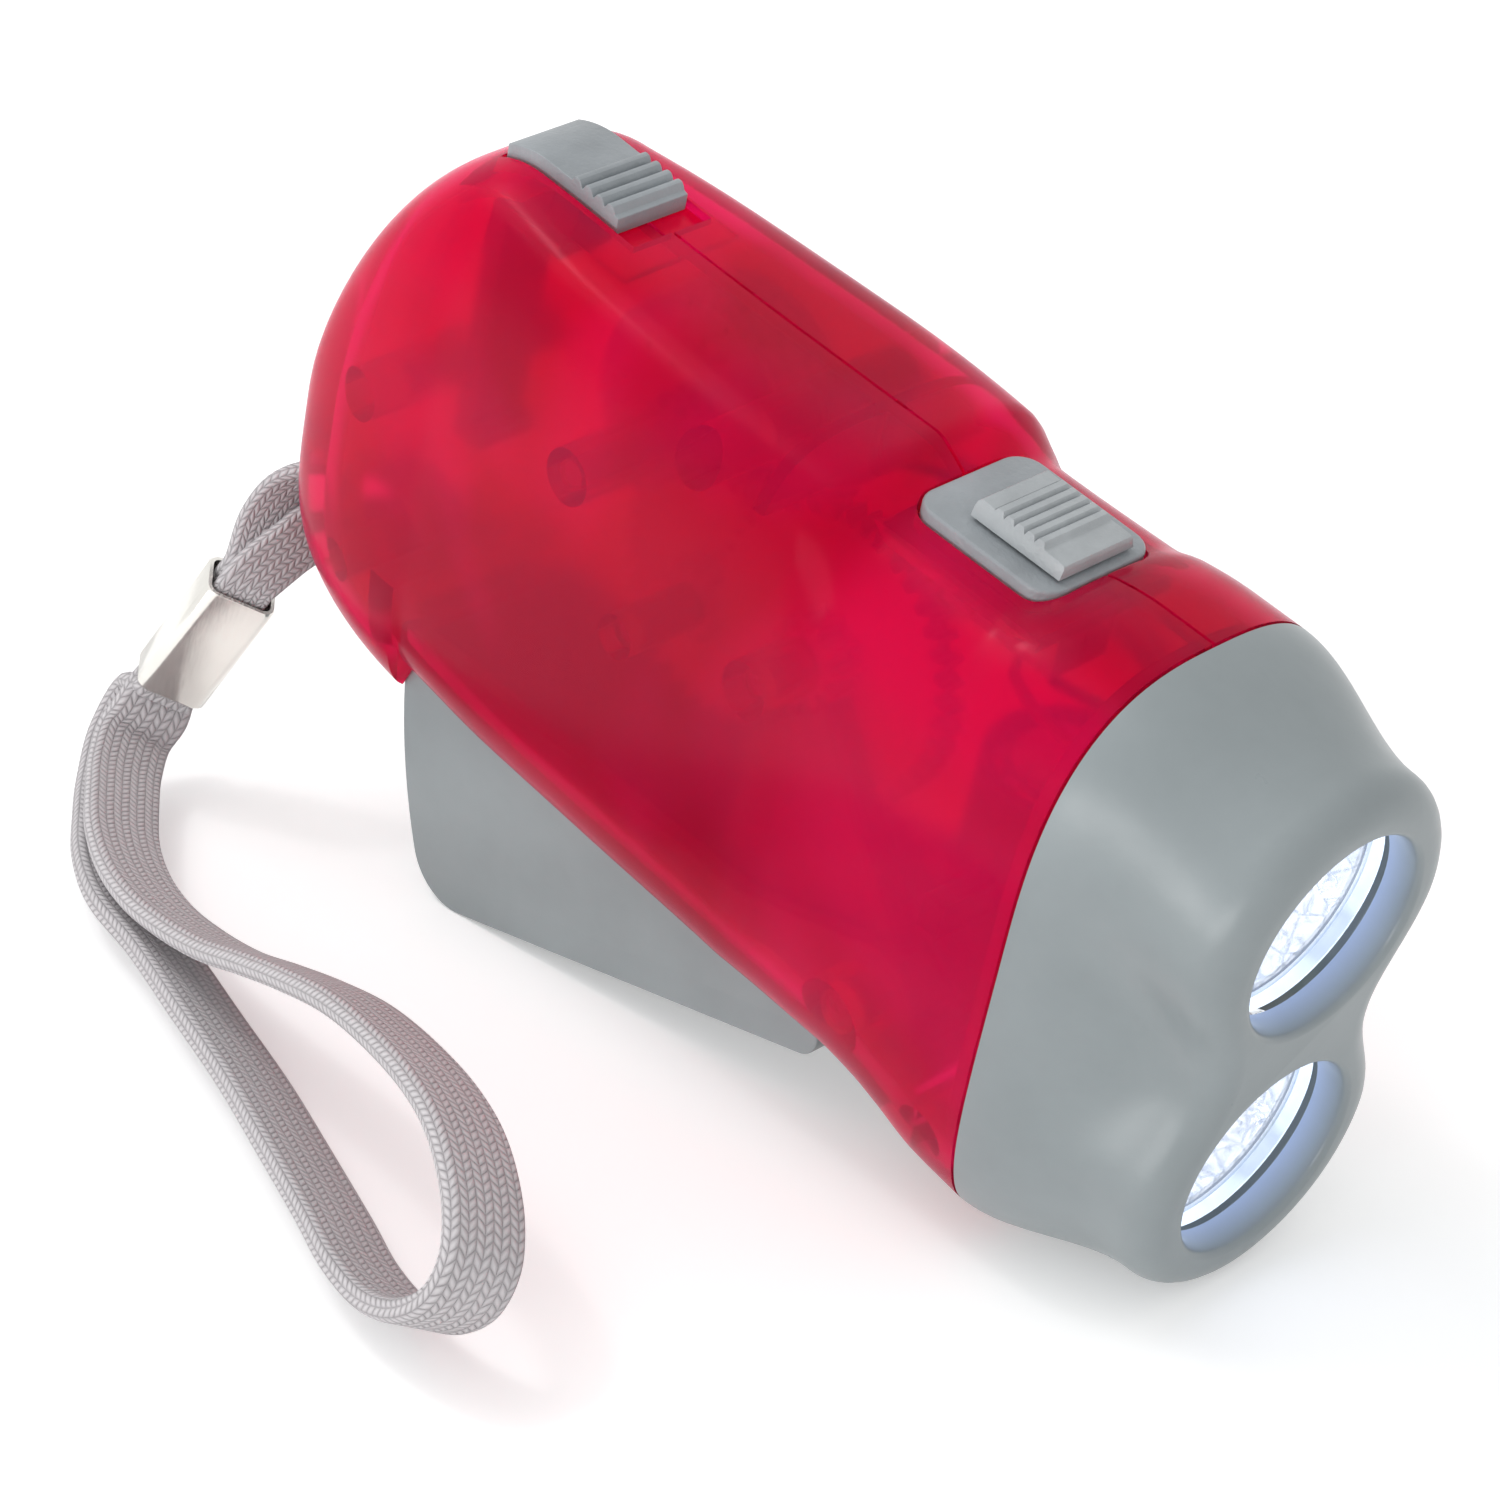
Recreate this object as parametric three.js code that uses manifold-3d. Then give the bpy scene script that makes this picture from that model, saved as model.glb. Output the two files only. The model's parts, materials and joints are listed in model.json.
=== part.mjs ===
// Squeeze flashlight: a translucent body in two shells, a figure-eight head with two lamps, and a lever
// under the body that turns a small generator through a gear train. A flat wrist strap hangs at its tail.
//
// Body frame: the origin lies on the front face of the head, midway between the two lamps. X points
// forward along the beams, Y to the left and Z up. The finished body is tipped nose down, because the
// flashlight stands on the heel of its open lever and on the lower rim of its head.
// Lengths are in millimetres and angles in degrees.

import * as THREE from "three";
import { mergeVertices } from "three/addons/utils/BufferGeometryUtils.js";
import Module from "manifold-3d";

const wasm = await Module();
wasm.setup();

// Clearances and general sizes
const fitGap = 0.3;
const runningGap = 0.4;
const overrun = 4;
const farReach = 200;
const roundSides = 20;
const smallSides = 12;
const largeSides = 32;
const arcSteps = 5;

// Stretches of the body from the head seam to the tail
const headLength = 17;
const frontHumpLength = 11;
const saddleLength = 14;
const stepLength = 3.5;
const tailDepth = 17.8;
const leverRearOverhang = 1.6;

// Body section
const bodyHalfWidth = 15.9;
const humpTop = 26.4;
const saddleTop = 25;
const gripTop = 27;
const tailTop = 27.8;
const seamBottom = 24.2;
const gripBottom = 20;
const heelBottom = 22.9;
const tailMiddle = -6.5;
const bellyHeight = 5;
const shellWall = 1.8;

// Head and lamps
const lampSpacing = 22;
const lampRimRadius = 12.8;
const waistHalfWidth = 9.4;
const rimRounding = 3;
const lensOpeningRadius = 8.7;
const lensRadius = 9.3;
const lensThickness = 1.5;
const lensRecess = 3.7;
const reflectorRadius = 9.2;
const reflectorDepth = 9.2;
const reflectorWall = 0.8;
const reflectorLip = 0.6;
const reflectorThroat = 3.2;
const ledRadius = 2.5;
const ledFlange = 2.9;
const ledFlangeHeight = 0.9;
const ledBarrel = 4.6;
const boardThickness = 1.5;
const boardHalfWidth = 9.4;
const boardHalfHeight = 19;
const boardCorner = 8;
const collarDepth = 2.2;
const collarWall = 1.3;

// Lever
const leverSetback = 15.5;
const leverPivotHeight = -15;
const leverOpenAngle = 20.4;
const leverReach = 55.1;
const leverFrontRadius = 8;
const leverSoleSetback = 8.9;
const leverSoleCorner = 2.4;
const leverGrooveRun = 0.2;
const leverWebWall = 0.9;
const leverHeelRadius = 5;
const leverHalfWidth = 9;
const leverWall = 1.8;
const leverSideWall = 1.6;
const leverEdge = 0.9;
const leverSideDrop = 1;
const hubRadius = 2.9;
const pivotPinRadius = 1.5;
const catchLipLength = 2.1;
const catchHalfWidth = 6;
const catchAngle = 2.4;
const slotSideGap = 0.3;
const slotFrontGap = 0.7;

// Gear train
const sectorTeeth = 76;
const pinionTeeth = 11;
const sectorModule = 0.6;
const firstWheelTeeth = 40;
const secondPinionTeeth = 10;
const secondWheelTeeth = 34;
const rotorPinionTeeth = 9;
const trainModule = 0.6;
const sectorMeshAngle = 126;
const firstMeshAngle = 198.6;
const secondMeshAngle = 130;
const sectorMarginAngle = 3.6;
const sectorFace = 2.5;
const wheelFace = 2;
const pinionOverlap = 0.2;
const sectorRightSide = -6.4;
const axleRadius = 1;
const gearBossRadius = 2.4;
const slimBossRadius = 1.9;

// Generator
const rotorRadius = 10.4;
const rotorDepth = 7;
const rotorRim = 1.3;
const rotorDisc = 1.2;
const magnetThickness = 1.8;
const clawPlate = 0.8;
const clawCount = 4;
const bobbinCore = 2.4;
const bobbinFlange = 0.5;
const bobbinWall = 0.6;

// Lock slider on the tail
const lockHalfWidth = 3.7;
const lockLength = 12.8;
const lockLead = 8.5;
const lockTravel = 2.2;
const lockRise = 0.9;
const lockRibCount = 4;
const lockRibPitch = 1.3;
const lockRibHeight = 0.45;
const channelDepth = 1;
const channelSideGap = 0.4;
const lockStemHalfWidth = 1.6;
const lockStemLength = 3;
const lockStemSetback = 6;
const lockFootDrop = 6.8;
const lockFootThickness = 1.2;
const lockFootHalfWidth = 2.8;
const hookThickness = 1.8;
const hookNoseLength = 1.4;
const hookNoseHeight = 1.7;

// Lamp switch in the saddle
const plateHalfWidth = 6;
const plateCorner = 2.2;
const plateProud = 0.5;
const plateFlange = 1.2;
const plateFlangeThickness = 1.3;
const thumbLength = 9.2;
const thumbHalfWidth = 4;
const thumbTopHalfWidth = 3.45;
const thumbHeight = 1.7;
const thumbTravel = 4;
const thumbFrontMargin = 0.8;
const thumbRibCount = 5;
const thumbRibPitch = 1.05;
const thumbRibHeight = 0.5;
const thumbStemHalfWidth = 1.1;
const thumbStemLength = 2.6;
const switchCanLength = 11.2;
const switchCanHalfWidth = 3;
const switchCanHeight = 4.6;
const switchPinRadius = 0.4;
const switchPinLength = 1.4;

// Cells and their holder
const cellRadius = 5.8;
const cellHeight = 5.2;
const cellCount = 3;
const cellEdge = 0.5;
const cellSetback = 8.8;
const contactThickness = 0.5;
const contactTabReach = 1.35;
const contactRadiusShare = 0.8;
const holderWall = 0.9;
const holderLugHalfHeight = 1.5;
const holderLugThickness = 2;
const holderSideGap = 1.5;

// Screws, post, ribs and leads
const tailScrewOffset = 9.6;
const tailScrewHeight = 2.7;
const topScrewSetback = 41;
const topScrewHeight = 20.6;
const frontScrewSetback = 4.9;
const frontScrewHeight = -18.6;
const screwBossRadius = 2.3;
const screwShankRadius = 0.95;
const screwHeadRadius = 1.8;
const screwHeadHeight = 1.4;
const screwLength = 16;
const screwSink = 1.6;
const postRadius = 1.9;
const postOffset = 10;
const postHeight = -14.6;
const ribThickness = 1.2;
const ribDepth = 5;
const leadRadius = 0.5;
const leadSides = 6;
const diodeRadius = 0.9;
const diodeLength = 4;
const diodeSpacing = 1.2;

// Wrist strap
const strapWidth = 6.8;
const strapThickness = 1.9;
const strapSteps = 56;
const neckWidth = 5;
const neckThickness = 1.5;
const neckSteps = 34;
const bandEdgeShare = 0.35;
const strapSlotMargin = 1.2;
const ferruleWall = 0.5;
const ferruleCorner = 0.9;

// Places that follow from the sizes above
const seamX = -headLength;
const saddleFront = seamX - frontHumpLength;
const saddleRear = saddleFront - saddleLength;
const gripFront = saddleRear - stepLength;
const gripRear = seamX - leverSetback - leverReach + leverRearOverhang;
const gripLength = gripFront - gripRear;
const tailEnd = gripRear - tailDepth;
const holderLugReach = bodyHalfWidth - shellWall - holderSideGap;
const lampHeight = lampSpacing / 2;
const boardFront = -lensRecess - lensThickness - fitGap - reflectorDepth - fitGap;
const leverPivot = new THREE.Vector2(seamX - leverSetback, leverPivotHeight);
const leverSlotHalfWidth = leverHalfWidth + slotSideGap;
const lockFront = gripRear + lockLead;
const lockRear = lockFront - lockLength;
const postX = gripRear - postOffset;
const strapSlotHalfWidth = neckWidth / 2 + strapSlotMargin;
const strapSlotHalfHeight = postRadius + neckThickness + fitGap * 3;

const materials = {
  redShell: { color: 0xc0183c, roughness: 0.35, metalness: 0 },
  greyPlastic: { color: 0x8f9a9c, roughness: 0.5, metalness: 0 },
  lightGrey: { color: 0xa6adae, roughness: 0.55, metalness: 0 },
  clearPlastic: { color: 0xdfe8f4, roughness: 0.05, metalness: 0 },
  mirror: { color: 0xe8ecf2, roughness: 0.08, metalness: 1 },
  whitePlastic: { color: 0xd8d6cf, roughness: 0.5, metalness: 0 },
  board: { color: 0x2e6b3c, roughness: 0.6, metalness: 0 },
  steel: { color: 0x9a9ca0, roughness: 0.3, metalness: 1 },
  magnet: { color: 0x2c2c2f, roughness: 0.6, metalness: 0.3 },
  copper: { color: 0xa85a2c, roughness: 0.35, metalness: 1 },
  blackPlastic: { color: 0x1d1d1f, roughness: 0.5, metalness: 0 },
  strapCloth: { color: 0x9c969c, roughness: 0.9, metalness: 0 },
  redLead: { color: 0xa01c1c, roughness: 0.5, metalness: 0 },
  blackLead: { color: 0x202022, roughness: 0.5, metalness: 0 },
};

const radians = THREE.MathUtils.degToRad;

function named(name, geometry, material) {
  const mesh = new THREE.Mesh(geometry, new THREE.MeshStandardMaterial(materials[material]));
  mesh.name = name;
  return mesh;
}

// Solids for cutting and joining
function toSolid(geometry) {
  const bare = geometry.clone();
  bare.deleteAttribute("normal");
  bare.deleteAttribute("uv");
  const welded = mergeVertices(bare);
  const vertProperties = Float32Array.from(welded.attributes.position.array);
  const triVerts = Uint32Array.from(welded.index.array);
  return new wasm.Manifold(new wasm.Mesh({ numProp: 3, vertProperties, triVerts }));
}

function toGeometry(solid) {
  const mesh = solid.getMesh();
  const geometry = new THREE.BufferGeometry();
  geometry.setAttribute("position", new THREE.BufferAttribute(Float32Array.from(mesh.vertProperties), 3));
  geometry.setIndex(new THREE.BufferAttribute(Uint32Array.from(mesh.triVerts), 1));
  geometry.computeVertexNormals();
  return geometry;
}

function joined(solids) {
  return solids.reduce((sum, solid) => sum.add(solid));
}

function without(solid, cuts) {
  return cuts.reduce((rest, cut) => rest.subtract(cut), solid);
}

// A box between two corners
function block(low, high) {
  const size = high.map((value, axis) => value - low[axis]);
  const geometry = new THREE.BoxGeometry(...size);
  geometry.translate(...high.map((value, axis) => (value + low[axis]) / 2));
  return toSolid(geometry);
}

// A plate whose outline lies in the XZ plane, from one Y to another
function plate(shape, yLow, yHigh, curveSegments = arcSteps) {
  const geometry = new THREE.ExtrudeGeometry(shape, {
    depth: yHigh - yLow, bevelEnabled: false, curveSegments,
  });
  geometry.rotateX(Math.PI / 2);
  geometry.translate(0, yHigh, 0);
  return toSolid(geometry);
}

// A plate whose outline lies in the XY plane, from one Z to another
function slab(shape, zLow, zHigh, curveSegments = arcSteps) {
  const geometry = new THREE.ExtrudeGeometry(shape, {
    depth: zHigh - zLow, bevelEnabled: false, curveSegments,
  });
  geometry.translate(0, 0, zLow);
  return toSolid(geometry);
}

function polygon(points) {
  return new THREE.Shape(points.map(([x, y]) => new THREE.Vector2(x, y)));
}

// A round bar along Y through a point of the XZ plane
function barY(x, z, radius, yLow, yHigh, sides = roundSides) {
  const geometry = new THREE.CylinderGeometry(radius, radius, yHigh - yLow, sides);
  geometry.translate(x, (yLow + yHigh) / 2, z);
  return toSolid(geometry);
}

// A turned piece along X: the profile gives pairs of radius and X, from its front to its rear
function turnedX(profile, y, z, sides = roundSides) {
  const points = profile.map(([radius, x]) => new THREE.Vector2(radius, x)).reverse();
  const geometry = new THREE.LatheGeometry(points, sides);
  geometry.rotateZ(-Math.PI / 2);
  geometry.translate(0, y, z);
  return geometry;
}

// A closed skin over rings of equal count, which run from the rear to the front
function loft(rings) {
  const count = rings[0].length;
  const positions = [];
  const index = [];
  for (const ring of rings) {
    for (const point of ring) positions.push(point.x, point.y, point.z);
  }
  for (let i = 0; i + 1 < rings.length; i++) {
    for (let j = 0; j < count; j++) {
      const a = i * count + j;
      const b = i * count + ((j + 1) % count);
      index.push(a, a + count, b, b, a + count, b + count);
    }
  }
  const capRing = (ring, first, forward) => {
    const centre = new THREE.Vector3();
    for (const point of ring) centre.addScaledVector(point, 1 / count);
    const middle = positions.length / 3;
    positions.push(centre.x, centre.y, centre.z);
    for (let j = 0; j < count; j++) {
      const here = first + j;
      const next = first + ((j + 1) % count);
      index.push(middle, forward ? next : here, forward ? here : next);
    }
  };
  capRing(rings[0], 0, false);
  capRing(rings[rings.length - 1], (rings.length - 1) * count, true);
  const geometry = new THREE.BufferGeometry();
  geometry.setAttribute("position", new THREE.Float32BufferAttribute(positions, 3));
  geometry.setIndex(index);
  return geometry;
}

// Body form: each station is a rounded box whose corners tighten with its powers
const ringPoints = 28;

function bodyStations() {
  const stations = [];
  const add = (x, widthShare, top, bottom, topPower, bottomPower) => {
    stations.push({ x, halfWidth: bodyHalfWidth * widthShare, top, bottom: -bottom,
      belly: bellyHeight, topPower, bottomPower });
  };
  const along = (front, length, share) => front - length * share;
  const blend = (from, to, share) => from + (to - from) * share;
  add(seamX, 1, humpTop, seamBottom, 2.8, 5);
  add(along(seamX, frontHumpLength, 0.45), 1, humpTop, blend(seamBottom, gripBottom, 0.2), 2.8, 5.2);
  add(along(seamX, frontHumpLength, 0.86), 0.99, blend(humpTop, saddleTop, 0.35),
    blend(seamBottom, gripBottom, 0.62), 2.85, 5.6);
  add(along(saddleFront, saddleLength, 0.1), 0.98, saddleTop, blend(seamBottom, gripBottom, 0.86), 2.9, 6);
  add(along(saddleFront, saddleLength, 0.4), 0.965, saddleTop, gripBottom, 2.9, 6.4);
  add(along(saddleFront, saddleLength, 0.96), 0.93, saddleTop, gripBottom, 3, 7.2);
  add(along(saddleRear, stepLength, 0.5), 0.92, blend(saddleTop, gripTop, 0.6), gripBottom, 3.4, 7.6);
  add(gripFront, 0.91, gripTop, gripBottom, 3.8, 8);
  add(along(gripFront, gripLength, 0.35), 0.87, gripTop, gripBottom, 4.7, 8);
  add(along(gripFront, gripLength, 0.7), 0.825, blend(gripTop, tailTop, 0.25), gripBottom, 4.4, 8);
  add(along(gripFront, gripLength, 0.9), 0.795, blend(gripTop, tailTop, 0.8), gripBottom, 3.7, 7);
  add(gripRear, 0.78, tailTop, blend(gripBottom, heelBottom, 0.1), 3.3, 6);
  const tailWidth = bodyHalfWidth * 0.78;
  for (const turn of [15, 29, 42, 54, 66, 77, 87]) {
    const back = Math.sin(radians(turn));
    const left = Math.cos(radians(turn));
    stations.push({
      x: gripRear - tailDepth * back,
      halfWidth: tailWidth * left ** 0.25,
      top: tailMiddle + (tailTop - tailMiddle) * left,
      bottom: tailMiddle - (heelBottom + tailMiddle) * left ** 0.5,
      belly: tailMiddle + (bellyHeight - tailMiddle) * left,
      topPower: 3.3 - 0.3 * back,
      bottomPower: 6 - 2 * back,
    });
  }
  return stations.reverse();
}

function superPoint(station, turn, inset) {
  const side = Math.sin(turn);
  const rise = Math.cos(turn);
  const power = 2 / (rise > 0 ? station.topPower : station.bottomPower);
  const height = rise > 0 ? station.top - inset - station.belly : station.belly - station.bottom - inset;
  return new THREE.Vector3(
    station.x,
    (station.halfWidth - inset) * Math.sign(side) * Math.abs(side) ** power,
    station.belly + height * Math.sign(rise) * Math.abs(rise) ** power,
  );
}

function sectionRing(station, inset) {
  const ring = [];
  for (let j = 0; j < ringPoints; j++) {
    ring.push(superPoint(station, (2 * Math.PI * j) / ringPoints, inset));
  }
  return ring;
}

// The body's solid, shrunk by an inset. Its front runs on past the seam if it is a hollow.
function bodyForm(inset, frontRun) {
  const stations = bodyStations();
  const rings = stations.map((station) => {
    const moved = { ...station };
    if (inset > 0) moved.x = Math.max(station.x, tailEnd + inset * 2 + (station.x - tailEnd) * 0.6);
    return sectionRing(moved, inset);
  });
  if (frontRun > 0) {
    const seam = stations[stations.length - 1];
    rings.push(sectionRing({ ...seam, x: seam.x + frontRun }, inset));
  }
  return toSolid(loft(rings));
}

// The body's section at any X, between its stations
function stationAt(x) {
  const stations = bodyStations();
  const next = Math.max(stations.findIndex((station) => station.x >= x), 1);
  const behind = stations[next - 1];
  const ahead = stations[next];
  const share = (x - behind.x) / (ahead.x - behind.x);
  const mixed = Object.keys(ahead).map((key) => [key, behind[key] + (ahead[key] - behind[key]) * share]);
  return Object.fromEntries(mixed);
}

// Height of the body's top middle line, for what is set into it
function topLine(x) {
  return stationAt(x).top;
}

// Centres of the gear train in the XZ plane
const pitchRadius = (teeth, module) => (teeth * module) / 2;
const sectorRadius = pitchRadius(sectorTeeth, sectorModule);
const polar = (radius, angle) => new THREE.Vector2(
  radius * Math.cos(radians(angle)), radius * Math.sin(radians(angle)));
const firstAxis = leverPivot.clone().add(
  polar(sectorRadius + pitchRadius(pinionTeeth, sectorModule), sectorMeshAngle));
const secondAxis = firstAxis.clone().add(
  polar(pitchRadius(firstWheelTeeth + secondPinionTeeth, trainModule), firstMeshAngle));
const rotorAxis = secondAxis.clone().add(
  polar(pitchRadius(secondWheelTeeth + rotorPinionTeeth, trainModule), secondMeshAngle));

// Places along Y, from the right side to the left
const pinionRight = sectorRightSide - pinionOverlap / 2;
const pinionLeft = pinionRight + sectorFace + pinionOverlap;
const firstWheelRight = pinionLeft + fitGap;
const firstWheelLeft = firstWheelRight + wheelFace;
const secondPinionRight = firstWheelRight - pinionOverlap;
const secondPinionLeft = firstWheelLeft + pinionOverlap;
const secondWheelRight = secondPinionLeft + fitGap;
const secondWheelLeft = secondWheelRight + wheelFace;
const rotorPinionRight = secondWheelRight - pinionOverlap;
const rotorPinionLeft = secondWheelLeft + pinionOverlap;
const rotorRight = rotorPinionLeft + fitGap;
const rotorLeft = rotorRight + rotorDepth;

const screws = [
  { name: "shell_screw_tail", x: gripRear - tailScrewOffset, z: tailScrewHeight },
  { name: "shell_screw_top", x: seamX - topScrewSetback, z: topScrewHeight },
  { name: "shell_screw_front", x: seamX - frontScrewSetback, z: frontScrewHeight },
];

// The half space that one shell keeps to
function sideSpace(side) {
  return side > 0
    ? block([-farReach, fitGap / 2, -farReach], [farReach, farReach, farReach])
    : block([-farReach, -farReach, -farReach], [farReach, -fitGap / 2, farReach]);
}

// Bosses and ribs inside one shell: side is 1 on the left and -1 on the right
function shellInsides(side) {
  const boss = (at, radius, reach) => (side > 0
    ? barY(at.x, at.y, radius, reach, farReach, smallSides)
    : barY(at.x, at.y, radius, -farReach, -reach, smallSides));
  const wide = gearBossRadius + runningGap * 2;
  const parts = [boss(leverPivot, wide, leverHalfWidth + runningGap),
    boss(new THREE.Vector2(postX, postHeight), postRadius, fitGap / 2)];
  if (side > 0) {
    parts.push(boss(firstAxis, gearBossRadius, firstWheelLeft + runningGap));
    parts.push(boss(secondAxis, slimBossRadius, secondWheelLeft + runningGap));
    parts.push(boss(rotorAxis, gearBossRadius + bobbinCore, rotorLeft + runningGap));
    parts.push(boss(springPeg(), springPegRadius, springRight));
  } else {
    parts.push(boss(firstAxis, gearBossRadius, -pinionRight + runningGap));
    parts.push(boss(secondAxis, slimBossRadius, -secondPinionRight + runningGap));
    parts.push(boss(rotorAxis, gearBossRadius, -rotorPinionRight + runningGap));
  }
  for (const screw of screws) {
    parts.push(boss(new THREE.Vector2(screw.x, screw.z), screwBossRadius, fitGap / 2));
  }
  const stopFront = leverSlotRear();
  parts.push(block([stopFront - catchLipLength - leverWall / 2, -farReach, -farReach],
    [stopFront, farReach, leverStopHeight()]));
  const ribX = gripFront - ribDepth;
  parts.push(block([ribX - ribThickness, -farReach, gripTop - shellWall - ribDepth],
    [ribX, farReach, farReach]));
  parts.push(plate(lockPad(), -lockPadHalfWidth(), lockPadHalfWidth()));
  return joined(parts).intersect(sideSpace(side));
}

// Lever slot, its stop and the catch
function leverSlotRear() {
  return leverPivot.x - leverReach - runningGap;
}

function leverStopHeight() {
  return leverPivot.y - Math.sin(radians(catchLowAngle())) * (leverReach + catchLipLength) - fitGap;
}

function catchLowAngle() {
  return catchAngle + THREE.MathUtils.radToDeg(leverSideDrop / leverReach);
}

function leverSlot() {
  const front = leverPivot.x + leverFrontRadius + slotFrontGap;
  return block([leverSlotRear(), -leverSlotHalfWidth, -farReach], [front, leverSlotHalfWidth, leverPivot.y]);
}

// Channel of the lock slider in the top of the tail, the pad under it and its through slot
function lockPadHalfWidth() {
  return lockHalfWidth + channelSideGap + shellWall;
}

function lineAbove(rear, front, drop, shift) {
  const steps = 8;
  const points = [];
  for (let i = 0; i <= steps; i++) {
    const x = rear + ((front - rear) * i) / steps;
    points.push([x, topLine(x - shift) - drop]);
  }
  return points;
}

function lockPad() {
  const rear = lockRear - shellWall;
  const front = lockFront + lockTravel + shellWall;
  const lower = lineAbove(rear, front, channelDepth + shellWall * 0.8, lockTravel);
  return polygon([...lower, [front, farReach], [rear, farReach]]);
}

function lockChannel() {
  const rear = lockRear - fitGap;
  const front = lockFront + lockTravel + fitGap;
  const lower = lineAbove(rear, front, channelDepth, lockTravel);
  const halfWidth = lockHalfWidth + channelSideGap;
  return plate(polygon([...lower, [front, farReach], [rear, farReach]]), -halfWidth, halfWidth);
}

const lockStemFront = lockFront - lockStemSetback;
const lockStemRear = lockStemFront - lockStemLength;

function lockSlot() {
  const halfWidth = lockStemHalfWidth + runningGap;
  return block([lockStemRear - runningGap, -halfWidth, gripTop - lockFootDrop],
    [lockStemFront + lockTravel + runningGap, halfWidth, farReach]);
}

// Window of the switch plate
const plateFront = saddleFront + 0.5 * fitGap;
const plateRear = saddleRear;
const plateTop = saddleTop + plateProud;
const plateFlangeTop = saddleTop - shellWall - fitGap;
const plateFlangeBottom = plateFlangeTop - plateFlangeThickness;

function roundedOutline(xLow, xHigh, halfWidth, corner) {
  const shape = new THREE.Shape();
  shape.moveTo(xLow + corner, -halfWidth);
  shape.lineTo(xHigh - corner, -halfWidth);
  shape.absarc(xHigh - corner, -halfWidth + corner, corner, -Math.PI / 2, 0, false);
  shape.lineTo(xHigh, halfWidth - corner);
  shape.absarc(xHigh - corner, halfWidth - corner, corner, 0, Math.PI / 2, false);
  shape.lineTo(xLow + corner, halfWidth);
  shape.absarc(xLow + corner, halfWidth - corner, corner, Math.PI / 2, Math.PI, false);
  shape.lineTo(xLow, -halfWidth + corner);
  shape.absarc(xLow + corner, -halfWidth + corner, corner, Math.PI, 1.5 * Math.PI, false);
  return shape;
}

function switchWindow() {
  const opening = slab(roundedOutline(plateRear - fitGap, plateFront + fitGap,
    plateHalfWidth + fitGap, plateCorner + fitGap), plateFlangeBottom, farReach);
  const rebateSide = plateFlange + fitGap * 2;
  const rebate = block([plateRear - rebateSide, -plateHalfWidth - rebateSide, plateFlangeBottom - fitGap],
    [plateFront + rebateSide, plateHalfWidth + rebateSide, plateFlangeTop + fitGap]);
  return opening.add(rebate);
}

function strapSlot() {
  return block([tailEnd - overrun, -strapSlotHalfWidth, postHeight - strapSlotHalfHeight],
    [postX + strapSlotHalfHeight, strapSlotHalfWidth, postHeight + strapSlotHalfHeight]);
}

function bodyShell(side) {
  const outer = bodyForm(0, 0);
  const inner = bodyForm(shellWall, overrun);
  const middle = bodyForm(shellWall / 2, 0);
  const skin = outer.subtract(inner).intersect(sideSpace(side));
  let solid = skin.add(shellInsides(side).intersect(middle));
  const cuts = [leverSlot(), lockChannel(), lockSlot(), switchWindow(), strapSlotKeepingPost()];
  const pinDepth = side * (leverHalfWidth + runningGap + shellWall);
  cuts.push(barY(leverPivot.x, leverPivot.y, pivotPinRadius + fitGap,
    Math.min(0, pinDepth), Math.max(0, pinDepth), smallSides));
  for (const [axis, reach] of axleEnds(side)) {
    cuts.push(barY(axis.x, axis.y, axleRadius + fitGap, Math.min(0, reach), Math.max(0, reach), smallSides));
  }
  for (const screw of screws) cuts.push(...screwHoles(screw, side));
  solid = without(solid, cuts);
  return toGeometry(solid);
}

// The strap's slot leaves the post that the strap goes round
function strapSlotKeepingPost() {
  return strapSlot().subtract(barY(postX, postHeight, postRadius, -farReach, farReach));
}

// How far each gear axle reaches into the bosses of one side
function axleEnds(side) {
  return [
    [firstAxis, side * axleTip.first],
    [secondAxis, side * axleTip.second],
    [rotorAxis, side * axleTip.rotor],
  ];
}

const firstAxleTip = 10.6;
const secondAxleTip = 10.2;
const rotorAxleTip = 10.8;
const axleTip = { first: firstAxleTip, second: secondAxleTip, rotor: rotorAxleTip };

function screwHoles(screw, side) {
  const threadTip = screwTop(screw) - screwLength;
  if (side < 0) return [barY(screw.x, screw.z, screwShankRadius + fitGap, threadTip - fitGap, 0, smallSides)];
  return [
    barY(screw.x, screw.z, screwShankRadius + fitGap, 0, farReach, smallSides),
    barY(screw.x, screw.z, screwHeadRadius + fitGap, screwTop(screw) - screwHeadHeight - fitGap,
      farReach, smallSides),
  ];
}

// Half width of the body at one X and one height
function sideReach(x, z) {
  const station = stationAt(x);
  const above = z > station.belly;
  const height = above ? station.top - station.belly : station.belly - station.bottom;
  const power = above ? station.topPower : station.bottomPower;
  const share = Math.min(Math.abs(z - station.belly) / height, 1);
  return station.halfWidth * (1 - share ** power) ** (1 / power);
}

// The screws sink into the left side
function screwTop(screw) {
  return sideReach(screw.x, screw.z) - screwSink;
}

function shellScrew(screw) {
  const top = screwTop(screw);
  const neck = top - screwHeadHeight;
  const head = barY(screw.x, screw.z, screwHeadRadius, neck, top, smallSides);
  const shank = barY(screw.x, screw.z, screwShankRadius, top - screwLength, neck, smallSides);
  const driveHalf = screwHeadRadius * 0.55;
  const driveWidth = screwHeadRadius * 0.17;
  const recess = top - screwHeadHeight * 0.55;
  const cross = block([screw.x - driveHalf, recess, screw.z - driveWidth],
    [screw.x + driveHalf, farReach, screw.z + driveWidth])
    .add(block([screw.x - driveWidth, recess, screw.z - driveHalf],
      [screw.x + driveWidth, farReach, screw.z + driveHalf]));
  return toGeometry(head.add(shank).subtract(cross));
}

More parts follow.
